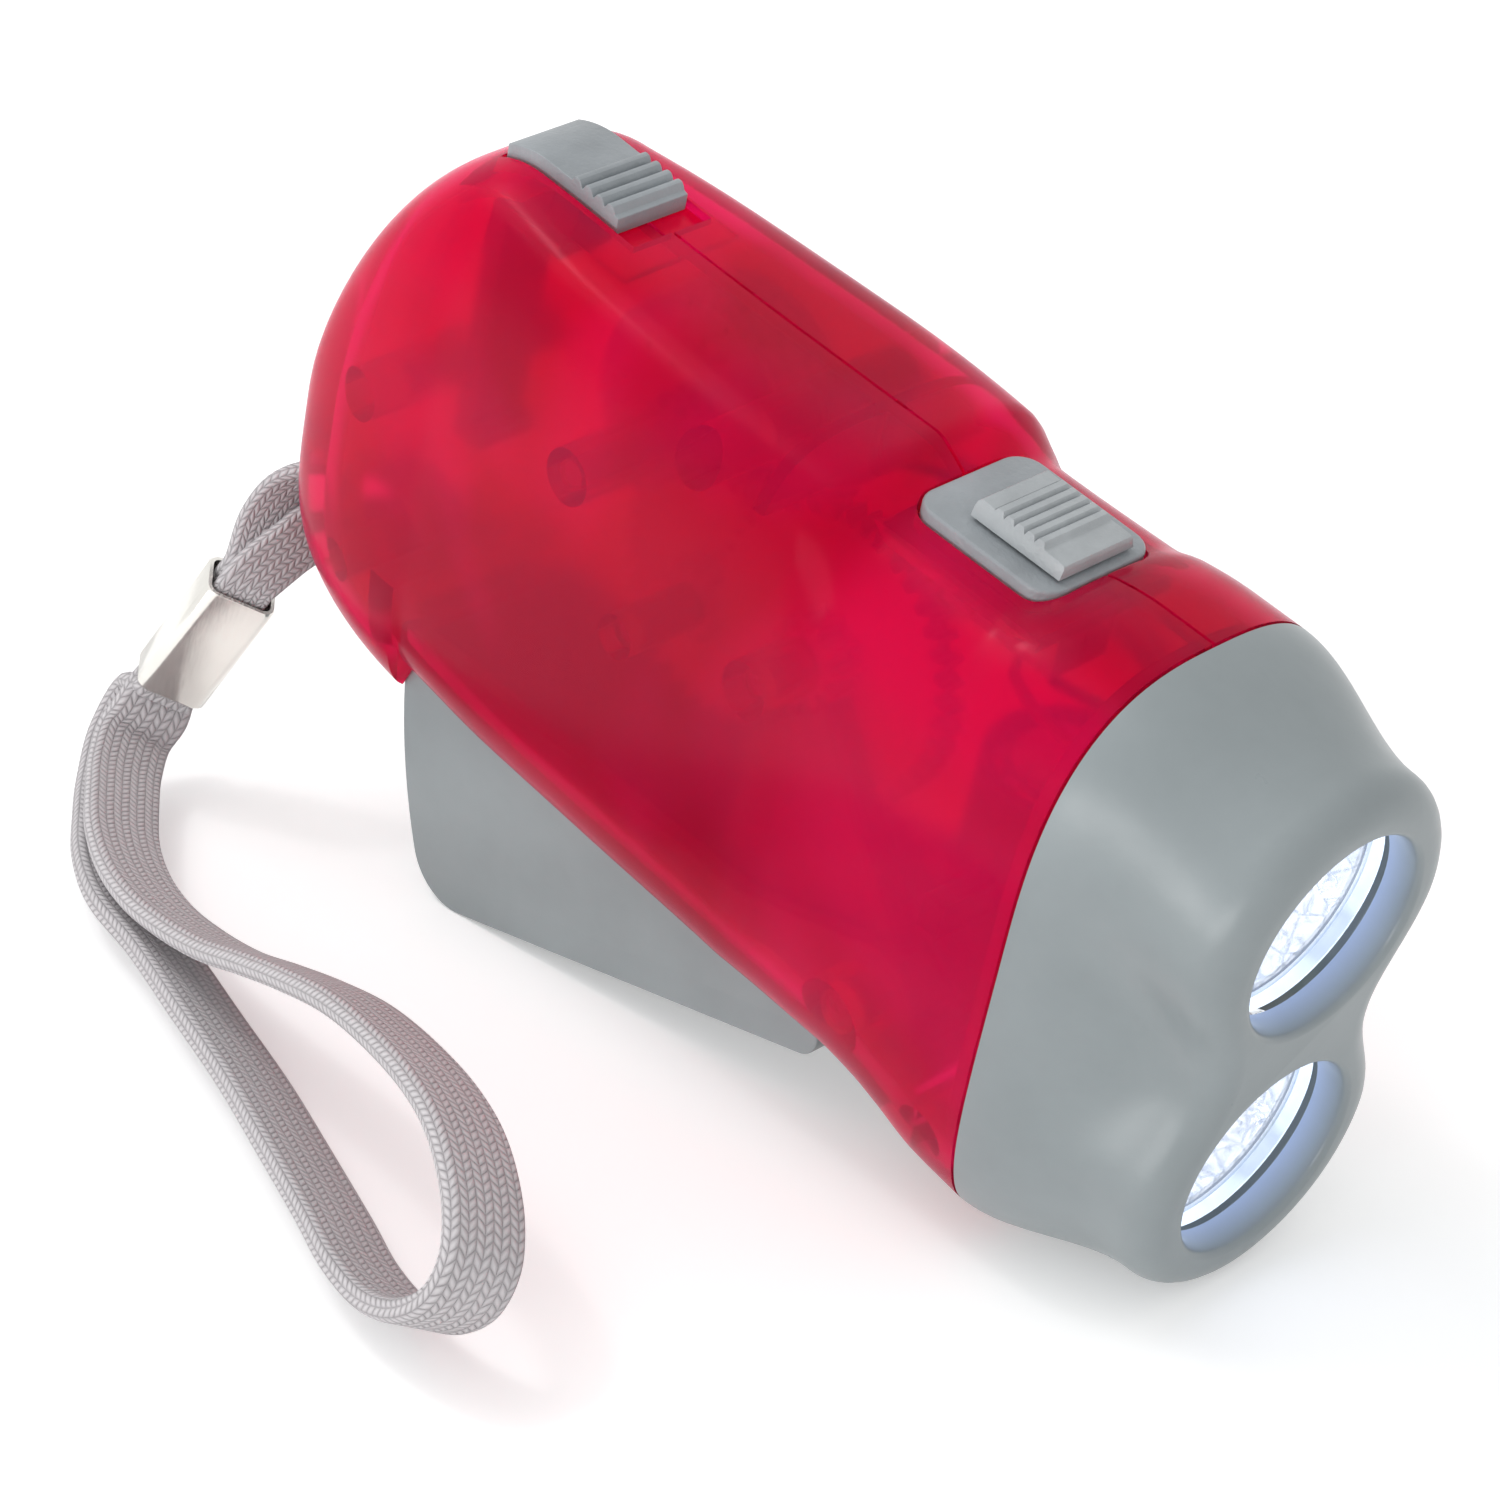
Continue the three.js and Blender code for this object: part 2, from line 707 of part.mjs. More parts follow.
// Lever, drawn about its pivot: u runs forward along its sole, n points down from it
const soleForward = polar(1, leverOpenAngle);
const soleDown = new THREE.Vector2(soleForward.y, -soleForward.x);
const onSole = (forward, down) => soleForward.clone().multiplyScalar(forward).addScaledVector(soleDown, down);

function leverHeelCentre() {
  const reach = leverReach - leverHeelRadius;
  const down = leverFrontRadius - leverHeelRadius;
  return onSole(-Math.sqrt(reach * reach - down * down), down);
}

// Outline of the lever from its rear top, round the heel and along the sole to its front, less an inset
function leverOutline(inset, openTop) {
  const heel = leverHeelCentre();
  const heelRadius = leverHeelRadius - inset;
  const reach = leverReach - inset;
  const front = leverFrontRadius - inset;
  const rearTop = new THREE.Vector2(-reach, openTop ? farReach : -leverSideDrop);
  const heelAngle = heel.angle();
  const soleAngle = soleDown.angle();
  const shape = new THREE.Shape();
  shape.moveTo(rearTop.x, rearTop.y);
  shape.lineTo(-reach, -leverSideDrop);
  shape.absarc(0, 0, reach, Math.PI + leverSideDrop / reach, heelAngle, false);
  shape.absarc(heel.x, heel.y, heelRadius, heelAngle, soleAngle, false);
  const frontEnd = radians(345);
  shape.absarc(0, 0, front, soleAngle, frontEnd, false);
  if (openTop) {
    shape.lineTo(front, farReach);
  } else {
    const hubTop = hubRadius + leverWall;
    shape.lineTo(hubTop, 0);
    shape.absarc(0, 0, hubTop, 0, radians(120), false);
    shape.lineTo(-hubTop * 3, 0);
  }
  return shape;
}

// Groove under the lever, between the rounded front of its tub and the barrel round its pivot
const grooveFloor = leverFrontRadius - leverSoleCorner - leverGrooveRun;

function leverGroove() {
  const corner = onSole(-leverSoleSetback, leverFrontRadius - leverSoleCorner);
  const start = onSole(-leverSoleSetback, leverFrontRadius + overrun);
  const tubEnd = onSole(leverSoleCorner - leverSoleSetback, grooveFloor);
  const barrelStart = onSole(-Math.sqrt(leverFrontRadius ** 2 - grooveFloor ** 2), grooveFloor);
  const end = onSole(0, leverFrontRadius + overrun);
  const shape = new THREE.Shape();
  shape.moveTo(start.x, start.y);
  shape.absarc(corner.x, corner.y, leverSoleCorner, soleDown.angle(),
    soleForward.angle() + 2 * Math.PI, false);
  shape.lineTo(tubEnd.x, tubEnd.y);
  shape.lineTo(barrelStart.x, barrelStart.y);
  shape.absarc(0, 0, leverFrontRadius, barrelStart.angle(), soleDown.angle(), false);
  shape.lineTo(end.x, end.y);
  return shape;
}

// Web inside the lever that keeps its wall closed over the groove
function leverBulkhead() {
  const rear = leverSoleCorner - leverSoleSetback - leverWall;
  const top = grooveFloor - leverWebWall;
  const front = -Math.sqrt((leverFrontRadius - leverWall) ** 2 - top ** 2);
  const bottom = leverFrontRadius + overrun;
  return polygon([onSole(rear, top), onSole(front, top), onSole(front, bottom), onSole(rear, bottom)]
    .map((corner) => corner.toArray()));
}

function leverSides() {
  const geometry = new THREE.ExtrudeGeometry(leverOutline(leverEdge, false), {
    depth: (leverHalfWidth - leverEdge) * 2, curveSegments: arcSteps,
    bevelThickness: leverEdge, bevelSize: leverEdge, bevelSegments: 1,
  });
  geometry.rotateX(Math.PI / 2);
  geometry.translate(0, leverHalfWidth - leverEdge, 0);
  return toSolid(geometry);
}

// Trapezoid teeth: pairs of corners at the root and at the tip
const toothRootShare = 0.27;
const toothTipShare = 0.1;
const addendumShare = 0.8;
const dedendumShare = 1.25;

function toothPoints(teeth, module, toothAngle) {
  const pitch = 360 / teeth;
  const root = pitchRadius(teeth, module) - module * dedendumShare;
  const tip = pitchRadius(teeth, module) + module * addendumShare;
  return [
    polar(root, toothAngle - pitch * toothRootShare),
    polar(tip, toothAngle - pitch * toothTipShare),
    polar(tip, toothAngle + pitch * toothTipShare),
    polar(root, toothAngle + pitch * toothRootShare),
  ];
}

function gearOutline(teeth, module, firstTooth) {
  const points = [];
  for (let i = 0; i < teeth; i++) points.push(...toothPoints(teeth, module, firstTooth + (i * 360) / teeth));
  return new THREE.Shape(points);
}

function leverSector() {
  const pitch = 360 / sectorTeeth;
  const points = [];
  const lowAngle = sectorMeshAngle - sectorMarginAngle;
  const highAngle = sectorMeshAngle + leverOpenAngle + sectorMarginAngle;
  const firstTooth = sectorMeshAngle - pitch * (Math.floor(sectorMarginAngle / pitch) + 0.5);
  points.push(polar(hubRadius, lowAngle - 40));
  for (let angle = firstTooth; angle < highAngle; angle += pitch) {
    points.push(...toothPoints(sectorTeeth, sectorModule, angle));
  }
  const sole = leverFrontRadius - leverWall / 2;
  points.push(onSole(-sectorRadius, sole));
  points.push(onSole(-hubRadius, sole));
  return new THREE.Shape(points);
}

function squeezeLever() {
  const cavity = plate(leverOutline(leverWall, true), -leverHalfWidth + leverSideWall,
    leverHalfWidth - leverSideWall).subtract(plate(leverBulkhead(), -farReach, farReach));
  const hub = barY(0, 0, hubRadius, -leverHalfWidth, leverHalfWidth);
  const sector = plate(leverSector(), sectorRightSide, sectorRightSide + sectorFace);
  const catchHigh = 180 + catchLowAngle() - catchAngle;
  const catchLow = 180 + catchLowAngle();
  const lip = plate(polygon([
    polar(leverReach - leverWall / 2, catchHigh).toArray(),
    polar(leverReach + catchLipLength, catchHigh).toArray(),
    polar(leverReach + catchLipLength, catchLow).toArray(),
    polar(leverReach - leverWall / 2, catchLow).toArray(),
  ]), -catchHalfWidth, catchHalfWidth);
  const solid = joined([leverSides().subtract(cavity), hub, sector, lip]);
  const bore = barY(0, 0, pivotPinRadius + fitGap, -farReach, farReach, roundSides);
  const groove = plate(leverGroove(), -farReach, farReach);
  return toGeometry(solid.subtract(bore).subtract(groove));
}

function pinY(radius, yLow, yHigh, sides = roundSides) {
  return toGeometry(barY(0, 0, radius, yLow, yHigh, sides));
}

// A round tube along a smooth curve through given points
function tube(points, radius, sides, steps) {
  const section = new THREE.Shape();
  for (let j = 0; j < sides; j++) {
    const corner = polar(radius, (360 * j) / sides);
    if (j === 0) section.moveTo(corner.x, corner.y);
    else section.lineTo(corner.x, corner.y);
  }
  const extrudePath = new THREE.CatmullRomCurve3(points);
  return new THREE.ExtrudeGeometry(section, { steps, bevelEnabled: false, extrudePath });
}

// Return spring round the lever's hub: its turns run on into a leg at each end
const springWire = 0.5;
const springTurns = 3.4;
const springTurnSteps = 12;
const springSteps = 50;
const springPitch = 1.5;
const springRadius = hubRadius + fitGap + springWire;
const springRight = sectorRightSide + sectorFace + fitGap + springWire;
const springLeg = 9;
const springPegRadius = 1.1;

function springPoint(step) {
  const turn = soleDown.angle() + (2 * Math.PI * step) / springTurnSteps;
  const y = springRight + (springPitch * step) / springTurnSteps;
  return new THREE.Vector3(springRadius * Math.cos(turn), y, springRadius * Math.sin(turn));
}

function springTangent(step) {
  return springPoint(step + 0.5).sub(springPoint(step - 0.5)).setY(0).normalize();
}

function springLegEnd(step, reach) {
  return springPoint(step).addScaledVector(springTangent(step), reach);
}

function returnSpring() {
  const last = springTurns * springTurnSteps;
  const points = [springLegEnd(0, -springLeg), springLegEnd(0, -springLeg / 2)];
  for (let step = 0; step < last; step++) points.push(springPoint(step));
  points.push(springPoint(last), springLegEnd(last, springLeg / 2), springLegEnd(last, springLeg));
  return tube(points, springWire, leadSides, springSteps);
}

// The upper leg pushes against a peg of the left shell
function springPeg() {
  const last = springTurns * springTurnSteps;
  const end = springLegEnd(last, springLeg - springPegRadius);
  const up = springTangent(last);
  const away = springWire + springPegRadius + fitGap;
  return leverPivot.clone().add(new THREE.Vector2(end.x + up.z * away, end.z - up.x * away));
}

// Compound gears: a wheel and a pinion on one hub, drawn about their axle
function compoundGear(wheel, pinion) {
  const solid = joined([wheel, pinion].map((gear) => plate(
    gearOutline(gear.teeth, gear.module, gear.firstTooth), gear.right, gear.left)));
  const bore = barY(0, 0, axleRadius + fitGap / 2, -farReach, farReach, smallSides);
  return toGeometry(solid.subtract(bore));
}

function firstGear() {
  return compoundGear(
    { teeth: firstWheelTeeth, module: trainModule, firstTooth: firstMeshAngle,
      right: pinionLeft, left: firstWheelLeft },
    { teeth: pinionTeeth, module: sectorModule, firstTooth: sectorMeshAngle + 180,
      right: pinionRight, left: pinionLeft });
}

function secondGear() {
  const gapAngle = firstMeshAngle + 180 + 180 / secondPinionTeeth;
  return compoundGear(
    { teeth: secondWheelTeeth, module: trainModule, firstTooth: secondMeshAngle,
      right: secondPinionLeft, left: secondWheelLeft },
    { teeth: secondPinionTeeth, module: trainModule, firstTooth: gapAngle,
      right: secondPinionRight, left: secondPinionLeft });
}

// Generator: a cup that spins with its magnet ring round two claw plates and a coil
function flywheel() {
  const gapAngle = secondMeshAngle + 180 + 180 / rotorPinionTeeth;
  const pinion = plate(gearOutline(rotorPinionTeeth, trainModule, gapAngle), rotorPinionRight, rotorRight);
  const cup = barY(0, 0, rotorRadius, rotorRight, rotorLeft, largeSides)
    .subtract(barY(0, 0, rotorRadius - rotorRim, rotorRight + rotorDisc, farReach, largeSides));
  const bore = barY(0, 0, axleRadius + fitGap / 2, -farReach, farReach, smallSides);
  return toGeometry(pinion.add(cup).subtract(bore));
}

const magnetOuter = rotorRadius - rotorRim - fitGap;
const magnetInner = magnetOuter - magnetThickness;
const clawOuter = magnetInner - runningGap;
const clawInner = clawOuter - clawPlate;
const statorRight = rotorRight + rotorDisc + runningGap;
const statorLeft = rotorLeft - fitGap;

function ringY(outer, inner, right, left, sides = roundSides) {
  return barY(0, 0, outer, right, left, sides).subtract(barY(0, 0, inner, -farReach, farReach, sides));
}

function rotorMagnet() {
  return toGeometry(ringY(magnetOuter, magnetInner, rotorRight + rotorDisc + fitGap, rotorLeft));
}

// One claw plate: side is -1 for the plate by the cup's disc and 1 for the one by the left shell
function clawPlateSolid(side) {
  const right = side < 0 ? statorRight : statorLeft - clawPlate;
  const disc = ringY(clawOuter, axleRadius + fitGap, right, right + clawPlate);
  const clawLow = side < 0 ? right : statorRight + clawPlate + fitGap;
  const clawHigh = side < 0 ? statorLeft - clawPlate - fitGap : right + clawPlate;
  const ring = ringY(clawOuter, clawInner, clawLow, clawHigh);
  const halfAngle = 360 / clawCount / 5.2;
  const wedges = [];
  for (let i = 0; i < clawCount; i++) {
    const middle = (360 / clawCount) * (i + (side < 0 ? 0 : 0.5));
    wedges.push(plate(polygon([[0, 0], polar(clawOuter * 2, middle - halfAngle).toArray(),
      polar(clawOuter * 2, middle + halfAngle).toArray()]), -farReach, farReach));
  }
  return toGeometry(disc.add(ring.intersect(joined(wedges))));
}

const bobbinRight = statorRight + clawPlate + fitGap;
const bobbinLeft = statorLeft - clawPlate - fitGap;
const bobbinOuter = clawInner - fitGap;

function coilBobbin() {
  const core = ringY(bobbinCore, axleRadius + fitGap, bobbinRight, bobbinLeft, smallSides);
  const flanges = [[bobbinRight, bobbinRight + bobbinFlange], [bobbinLeft - bobbinFlange, bobbinLeft]]
    .map(([right, left]) => ringY(bobbinOuter, axleRadius + fitGap, right, left, smallSides));
  return toGeometry(joined([core, ...flanges]));
}

function coilWinding() {
  return toGeometry(ringY(bobbinOuter - bobbinWall / 2, bobbinCore + fitGap,
    bobbinRight + bobbinFlange + fitGap, bobbinLeft - bobbinFlange - fitGap, smallSides));
}

// Lock slider with its ribs, stem, foot and hook
function lockSlider() {
  const lower = lineAbove(lockRear, lockFront, channelDepth - fitGap, 0);
  const ribStart = lockFront - fitGap - lockRibCount * lockRibPitch;
  const upper = lineAbove(lockRear, ribStart, -lockRise, 0);
  for (let i = 0; i < lockRibCount; i++) {
    const rear = ribStart + i * lockRibPitch;
    const top = topLine(rear) + lockRise;
    upper.push([rear + lockRibPitch * 0.25, top + lockRibHeight]);
    upper.push([rear + lockRibPitch * 0.6, top + lockRibHeight]);
    upper.push([rear + lockRibPitch * 0.95, top - lockRibHeight / 3]);
  }
  upper.push([lockFront, topLine(lockFront) + lockRise]);
  const cap = plate(polygon([...lower, ...upper.reverse()]), -lockHalfWidth, lockHalfWidth);
  const footTop = gripTop - lockFootDrop + lockFootThickness;
  const footBottom = footTop - lockFootThickness;
  const stem = block([lockStemRear, -lockStemHalfWidth, footBottom],
    [lockStemFront, lockStemHalfWidth, topLine(lockStemRear)]);
  const armFront = hookArmFront();
  const foot = block([armFront - hookThickness, -lockFootHalfWidth, footBottom],
    [lockStemFront, lockFootHalfWidth, footTop]);
  const noseTop = hookNoseTop();
  const arm = block([armFront - hookThickness, -lockFootHalfWidth, noseTop - hookNoseHeight],
    [armFront, lockFootHalfWidth, footTop]);
  const nose = block([armFront - hookThickness, -lockFootHalfWidth, noseTop - hookNoseHeight],
    [armFront + hookNoseLength, lockFootHalfWidth, noseTop]);
  return toGeometry(joined([cap, stem, foot, arm, nose]));
}

// The hook passes under the catch of the closed lever
function catchClosed(radius, angle) {
  return leverPivot.clone().add(polar(radius, angle - leverOpenAngle));
}

function hookArmFront() {
  return catchClosed(leverReach + catchLipLength, 180 + catchLowAngle()).x - fitGap - lockTravel;
}

function hookNoseTop() {
  return catchClosed(leverReach, 180 + catchLowAngle()).y - fitGap;
}

// Switch: plate, thumb piece and the can under it
function switchPlate() {
  const top = slab(roundedOutline(plateRear, plateFront, plateHalfWidth, plateCorner),
    plateFlangeBottom, plateTop);
  const flange = block([plateRear - plateFlange, -plateHalfWidth - plateFlange, plateFlangeBottom],
    [plateFront + plateFlange, plateHalfWidth + plateFlange, plateFlangeTop]);
  const slotHalf = thumbStemHalfWidth + fitGap;
  const slot = block([thumbStemRear - thumbTravel - fitGap, -slotHalf, -farReach],
    [thumbStemRear + thumbStemLength + fitGap, slotHalf, farReach]);
  return toGeometry(top.add(flange).subtract(slot));
}

const thumbFront = plateFront - thumbFrontMargin;
const thumbRear = thumbFront - thumbLength;
const thumbStemRear = (thumbFront + thumbRear) / 2 - thumbStemLength / 2;
const thumbBottom = plateTop + fitGap;

function switchThumb() {
  const top = thumbBottom + thumbHeight;
  const ribStart = thumbFront - thumbLength * 0.24 - thumbRibCount * thumbRibPitch;
  const outline = [[thumbRear, thumbBottom], [thumbFront, thumbBottom],
    [thumbFront, top - thumbHeight * 0.5], [thumbFront - thumbHeight * 0.25, top - thumbRibHeight]];
  for (let i = thumbRibCount - 1; i >= 0; i--) {
    const rear = ribStart + i * thumbRibPitch;
    outline.push([rear + thumbRibPitch, top - thumbRibHeight * 0.9]);
    outline.push([rear + thumbRibPitch * 0.72, top]);
    outline.push([rear + thumbRibPitch * 0.2, top]);
  }
  outline.push([ribStart, top - thumbRibHeight * 0.3]);
  outline.push([thumbRear + thumbHeight * 0.25, top - thumbRibHeight * 0.3]);
  outline.push([thumbRear, top - thumbHeight * 0.5]);
  const cap = plate(polygon(outline), -thumbHalfWidth, thumbHalfWidth);
  const side = new THREE.Shape([[-thumbHalfWidth, thumbBottom], [thumbHalfWidth, thumbBottom],
    [thumbTopHalfWidth, top], [-thumbTopHalfWidth, top]].map(([y, z]) => new THREE.Vector2(y, z)));
  const wedge = new THREE.ExtrudeGeometry(side, { depth: thumbLength + overrun * 2, bevelEnabled: false });
  wedge.rotateX(Math.PI / 2);
  wedge.rotateZ(Math.PI / 2);
  wedge.translate(thumbRear - overrun, 0, 0);
  const stem = block([thumbStemRear, -thumbStemHalfWidth, canTop - fitGap * 2],
    [thumbStemRear + thumbStemLength, thumbStemHalfWidth, thumbBottom + thumbHeight / 2]);
  return toGeometry(cap.intersect(toSolid(wedge)).add(stem));
}

const canTop = plateFlangeBottom - fitGap;
const canBottom = canTop - switchCanHeight;
const canFront = plateFront;
const canRear = canFront - switchCanLength;

function switchCan() {
  const can = block([canRear, -switchCanHalfWidth, canBottom], [canFront, switchCanHalfWidth, canTop]);
  const travelRear = thumbStemRear - thumbTravel - fitGap;
  const travel = block([travelRear, -thumbStemHalfWidth - fitGap, canTop - fitGap * 3],
    [thumbStemRear + thumbStemLength + fitGap, thumbStemHalfWidth + fitGap, farReach]);
  const pins = [-1, 0, 1].map((place) => {
    const length = switchPinLength * 2;
    const geometry = new THREE.CylinderGeometry(switchPinRadius, switchPinRadius, length, smallSides);
    geometry.rotateX(Math.PI / 2);
    geometry.translate((canFront + canRear) / 2 + (place * switchCanLength) / 4, 0, canBottom);
    return toSolid(geometry);
  });
  return toGeometry(joined([can, ...pins]).subtract(travel));
}

// Head: the seam's section blends into a figure eight with a rounded rim
function figureEight(height) {
  const reach = Math.min(Math.abs(height), lampHeight + lampRimRadius);
  if (reach > lampHeight) {
    return Math.sqrt(Math.max(lampRimRadius ** 2 - (reach - lampHeight) ** 2, 0));
  }
  const share = (1 - Math.cos((Math.PI * reach) / lampHeight)) / 2;
  return waistHalfWidth + (lampRimRadius - waistHalfWidth) * share;
}

// Round the lamps the inset shrinks the circle, and between them it moves the waist in
function eightPoint(turn, inset) {
  const height = (lampHeight + lampRimRadius) * Math.cos(turn);
  const side = Math.sign(Math.sin(turn));
  const past = Math.abs(height) - lampHeight;
  if (past < 0) return new THREE.Vector3(0, side * (figureEight(height) - inset), height);
  const shrink = 1 - inset / lampRimRadius;
  const rise = Math.sign(height) * (lampHeight + past * shrink);
  return new THREE.Vector3(0, side * figureEight(height) * shrink, rise);
}

function headRing(x, roundShare, inset) {
  const seam = stationAt(seamX);
  const ring = [];
  for (let j = 0; j < ringPoints; j++) {
    const turn = (2 * Math.PI * j) / ringPoints;
    const point = superPoint(seam, turn, inset).lerp(eightPoint(turn, inset), roundShare);
    point.x = x;
    ring.push(point);
  }
  return ring;
}

const headRear = seamX + fitGap;
const rimStart = -rimRounding;

function headForm(inset, front) {
  const rings = [];
  const steps = 5;
  const ease = (share) => share * share * (3 - 2 * share);
  for (let i = 0; i <= steps; i++) {
    const share = i / steps;
    rings.push(headRing(headRear + (rimStart - headRear) * share, ease(share), inset));
  }
  if (front) {
    for (const turn of [35, 65, 90]) {
      rings.push(headRing(rimStart + rimRounding * Math.sin(radians(turn)), 1,
        inset + rimRounding * (1 - Math.cos(radians(turn)))));
    }
  }
  return toSolid(loft(rings));
}

function barX(y, z, radius, xLow, xHigh, sides = largeSides) {
  const geometry = new THREE.CylinderGeometry(radius, radius, xHigh - xLow, sides);
  geometry.rotateZ(Math.PI / 2);
  geometry.translate((xLow + xHigh) / 2, y, z);
  return toSolid(geometry);
}

const lensFront = -lensRecess;
const lensRear = lensFront - lensThickness;
const collarInset = shellWall + fitGap;
const hollowInset = collarInset + collarWall;

function headBezel() {
  const seam = stationAt(seamX);
  const collarRear = stationAt(seamX - collarDepth);
  const sleeve = (inset, reach) => toSolid(loft([
    sectionRing({ ...collarRear, x: collarRear.x - reach }, inset),
    sectionRing(collarRear, inset),
    sectionRing(seam, inset),
    sectionRing({ ...seam, x: headRear + fitGap }, inset)]));
  const collar = sleeve(collarInset, 0).subtract(sleeve(hollowInset, overrun));
  const cuts = [headForm(hollowInset, false), sleeve(hollowInset, overrun)];
  for (const side of [-1, 1]) {
    const z = side * lampHeight;
    cuts.push(barX(0, z, lensOpeningRadius, lensFront - overrun, overrun));
    cuts.push(barX(0, z, lensRadius + fitGap, rimStart - headLength * 0.6, lensFront + fitGap));
  }
  return toGeometry(without(headForm(0, true), cuts).add(collar));
}

function lens() {
  return turnedX([[0, lensFront], [lensRadius, lensFront], [lensRadius, lensRear], [0, lensRear]],
    0, 0, largeSides);
}

// Bowl of the reflector: a parabola from its lip to the throat
const reflectorFront = lensRear - fitGap;

function reflector() {
  const mouth = reflectorRadius - reflectorLip;
  const inside = [];
  const outside = [];
  const steps = 4;
  for (let i = 0; i <= steps; i++) {
    const radius = mouth - ((mouth - reflectorThroat) * i) / steps;
    const spread = (radius ** 2 - reflectorThroat ** 2) / (mouth ** 2 - reflectorThroat ** 2);
    const depth = reflectorDepth * (1 - spread);
    inside.push([radius, reflectorFront - depth]);
    outside.push([radius + reflectorWall, reflectorFront - depth]);
  }
  outside.shift();
  const profile = [...inside.reverse(), [reflectorRadius, reflectorFront],
    [reflectorRadius, reflectorFront - reflectorLip], ...outside];
  profile.push(profile[0]);
  return turnedX(profile, 0, 0);
}

function led() {
  const rear = boardFront + fitGap;
  const flangeFront = rear + ledFlangeHeight;
  const barrelFront = flangeFront + ledBarrel;
  const profile = [[0, rear], [ledFlange, rear], [ledFlange, flangeFront], [ledRadius, flangeFront]];
  for (let turn = 0; turn < 90; turn += 18) {
    profile.push([ledRadius * Math.cos(radians(turn)), barrelFront + ledRadius * Math.sin(radians(turn))]);
  }
  profile.push([0, barrelFront + ledRadius]);
  return turnedX(profile.reverse(), 0, 0, smallSides);
}

function ledBoard() {
  const shape = roundedOutline(-boardHalfHeight, boardHalfHeight, boardHalfWidth, boardCorner);
  const geometry = new THREE.ExtrudeGeometry(shape, {
    depth: boardThickness, bevelEnabled: false, curveSegments: arcSteps,
  });
  geometry.rotateY(-Math.PI / 2);
  geometry.translate(boardFront, 0, 0);
  return geometry;
}

function diode() {
  const geometry = turnedX([[0, diodeLength / 2], [diodeRadius * 0.6, diodeLength / 2],
    [diodeRadius, diodeLength / 2 - diodeRadius * 0.4], [diodeRadius, -diodeLength / 2 + diodeRadius * 0.4],
    [diodeRadius * 0.6, -diodeLength / 2], [0, -diodeLength / 2]], 0, 0, smallSides);
  geometry.rotateY(Math.PI / 2);
  return geometry;
}

// Cells, contacts and holder, stacked along Z
const cellX = seamX - cellSetback;
const stackPitch = cellHeight + fitGap;
const stackHalf = (cellCount * stackPitch + fitGap) / 2;

function cell() {
  const half = cellHeight / 2;
  const points = [[0, half], [cellRadius - cellEdge * 2, half], [cellRadius - cellEdge, half - cellEdge],
    [cellRadius, half - cellEdge], [cellRadius, -half], [0, -half]];
  const profile = points.reverse().map(([x, y]) => new THREE.Vector2(x, y));
  const geometry = new THREE.LatheGeometry(profile, roundSides);
  geometry.rotateX(Math.PI / 2);
  return geometry;
}

function discZ(radius, zLow, zHigh, sides = roundSides) {
  const geometry = new THREE.CylinderGeometry(radius, radius, zHigh - zLow, sides);
  geometry.rotateX(Math.PI / 2);
  geometry.translate(0, 0, (zLow + zHigh) / 2);
  return toSolid(geometry);
}

function cellContact(side) {
  const low = side > 0 ? stackHalf : -stackHalf - contactThickness;
  const high = low + contactThickness;
  const disc = discZ(cellRadius * contactRadiusShare, low, high);
  const tabTip = cellRadius + holderWall + contactTabReach;
  const tab = block([0, -cellRadius / 4, low], [tabTip, cellRadius / 4, high]);
  return toGeometry(disc.add(tab));
}

function cellHolder() {
  const inner = cellRadius + fitGap;
  const floor = -stackHalf - contactThickness - fitGap;
  const rim = stackHalf + contactThickness;
  const cup = discZ(inner + holderWall, floor - holderWall, rim)
    .subtract(discZ(inner, floor, farReach));
  const lugs = block([-holderLugThickness / 2, -holderLugReach, -holderLugHalfHeight],
    [holderLugThickness / 2, holderLugReach, holderLugHalfHeight])
    .subtract(discZ(inner, -farReach, farReach));
  const doors = block([cellRadius / 2, -cellRadius / 2, -farReach], [farReach, cellRadius / 2, farReach]);
  return toGeometry(cup.add(lugs).subtract(doors));
}

// Leads: free routes between the pieces that they join, ending just short of each
const boardRear = boardFront - boardThickness;

function lead(points) {
  const route = points.map((point) => new THREE.Vector3(...point));
  return tube(route, leadRadius, leadSides, points.length + 3);
}

const leads = {
  generator_lead_1: [
    [-65, 8.6, 14.3], [-64.6, 9.8, 14.6], [-62.5, 10.4, 15.2], [-52, 10.6, 16.5], [-40, 10.8, 15],
    [-30, 11, 14], [-22, 8.5, 12], [-16.8, 6.5, 11],
  ],
  generator_lead_2: [
    [-64.2, 8.6, 12.2], [-63.8, 9.8, 12.5], [-61.7, 10.4, 13.2], [-52, 10.6, 14.5],
    [-40, 10.8, 13], [-30, 11, 12], [-22, 8.5, 9.8], [-16.8, 6.5, 8.4],
  ],
  switch_lead_1: [[-33.4, 0, 15], [-33, -0.6, 13.2], [-29, -1.8, 12.4], [-22, -2.5, 12.6], [-16.8, -2.5, 13]],
  switch_lead_2: [[-30.6, 0, 15], [-30.2, 0.7, 13.6], [-26, 2.2, 13.2], [-21, 2.6, 13.6], [-16.8, 2.6, 14]],
  cell_lead_upper: [[-18.9, 0, 9.2], [-18.7, 0, 10.2], [-17.9, 0, 10.9], [-16.8, 0, 11.1]],
  cell_lead_lower: [[-18.9, 0, -9.2], [-18.7, 0, -10.2], [-17.9, 0, -10.9], [-16.8, 0, -11.1]],
};

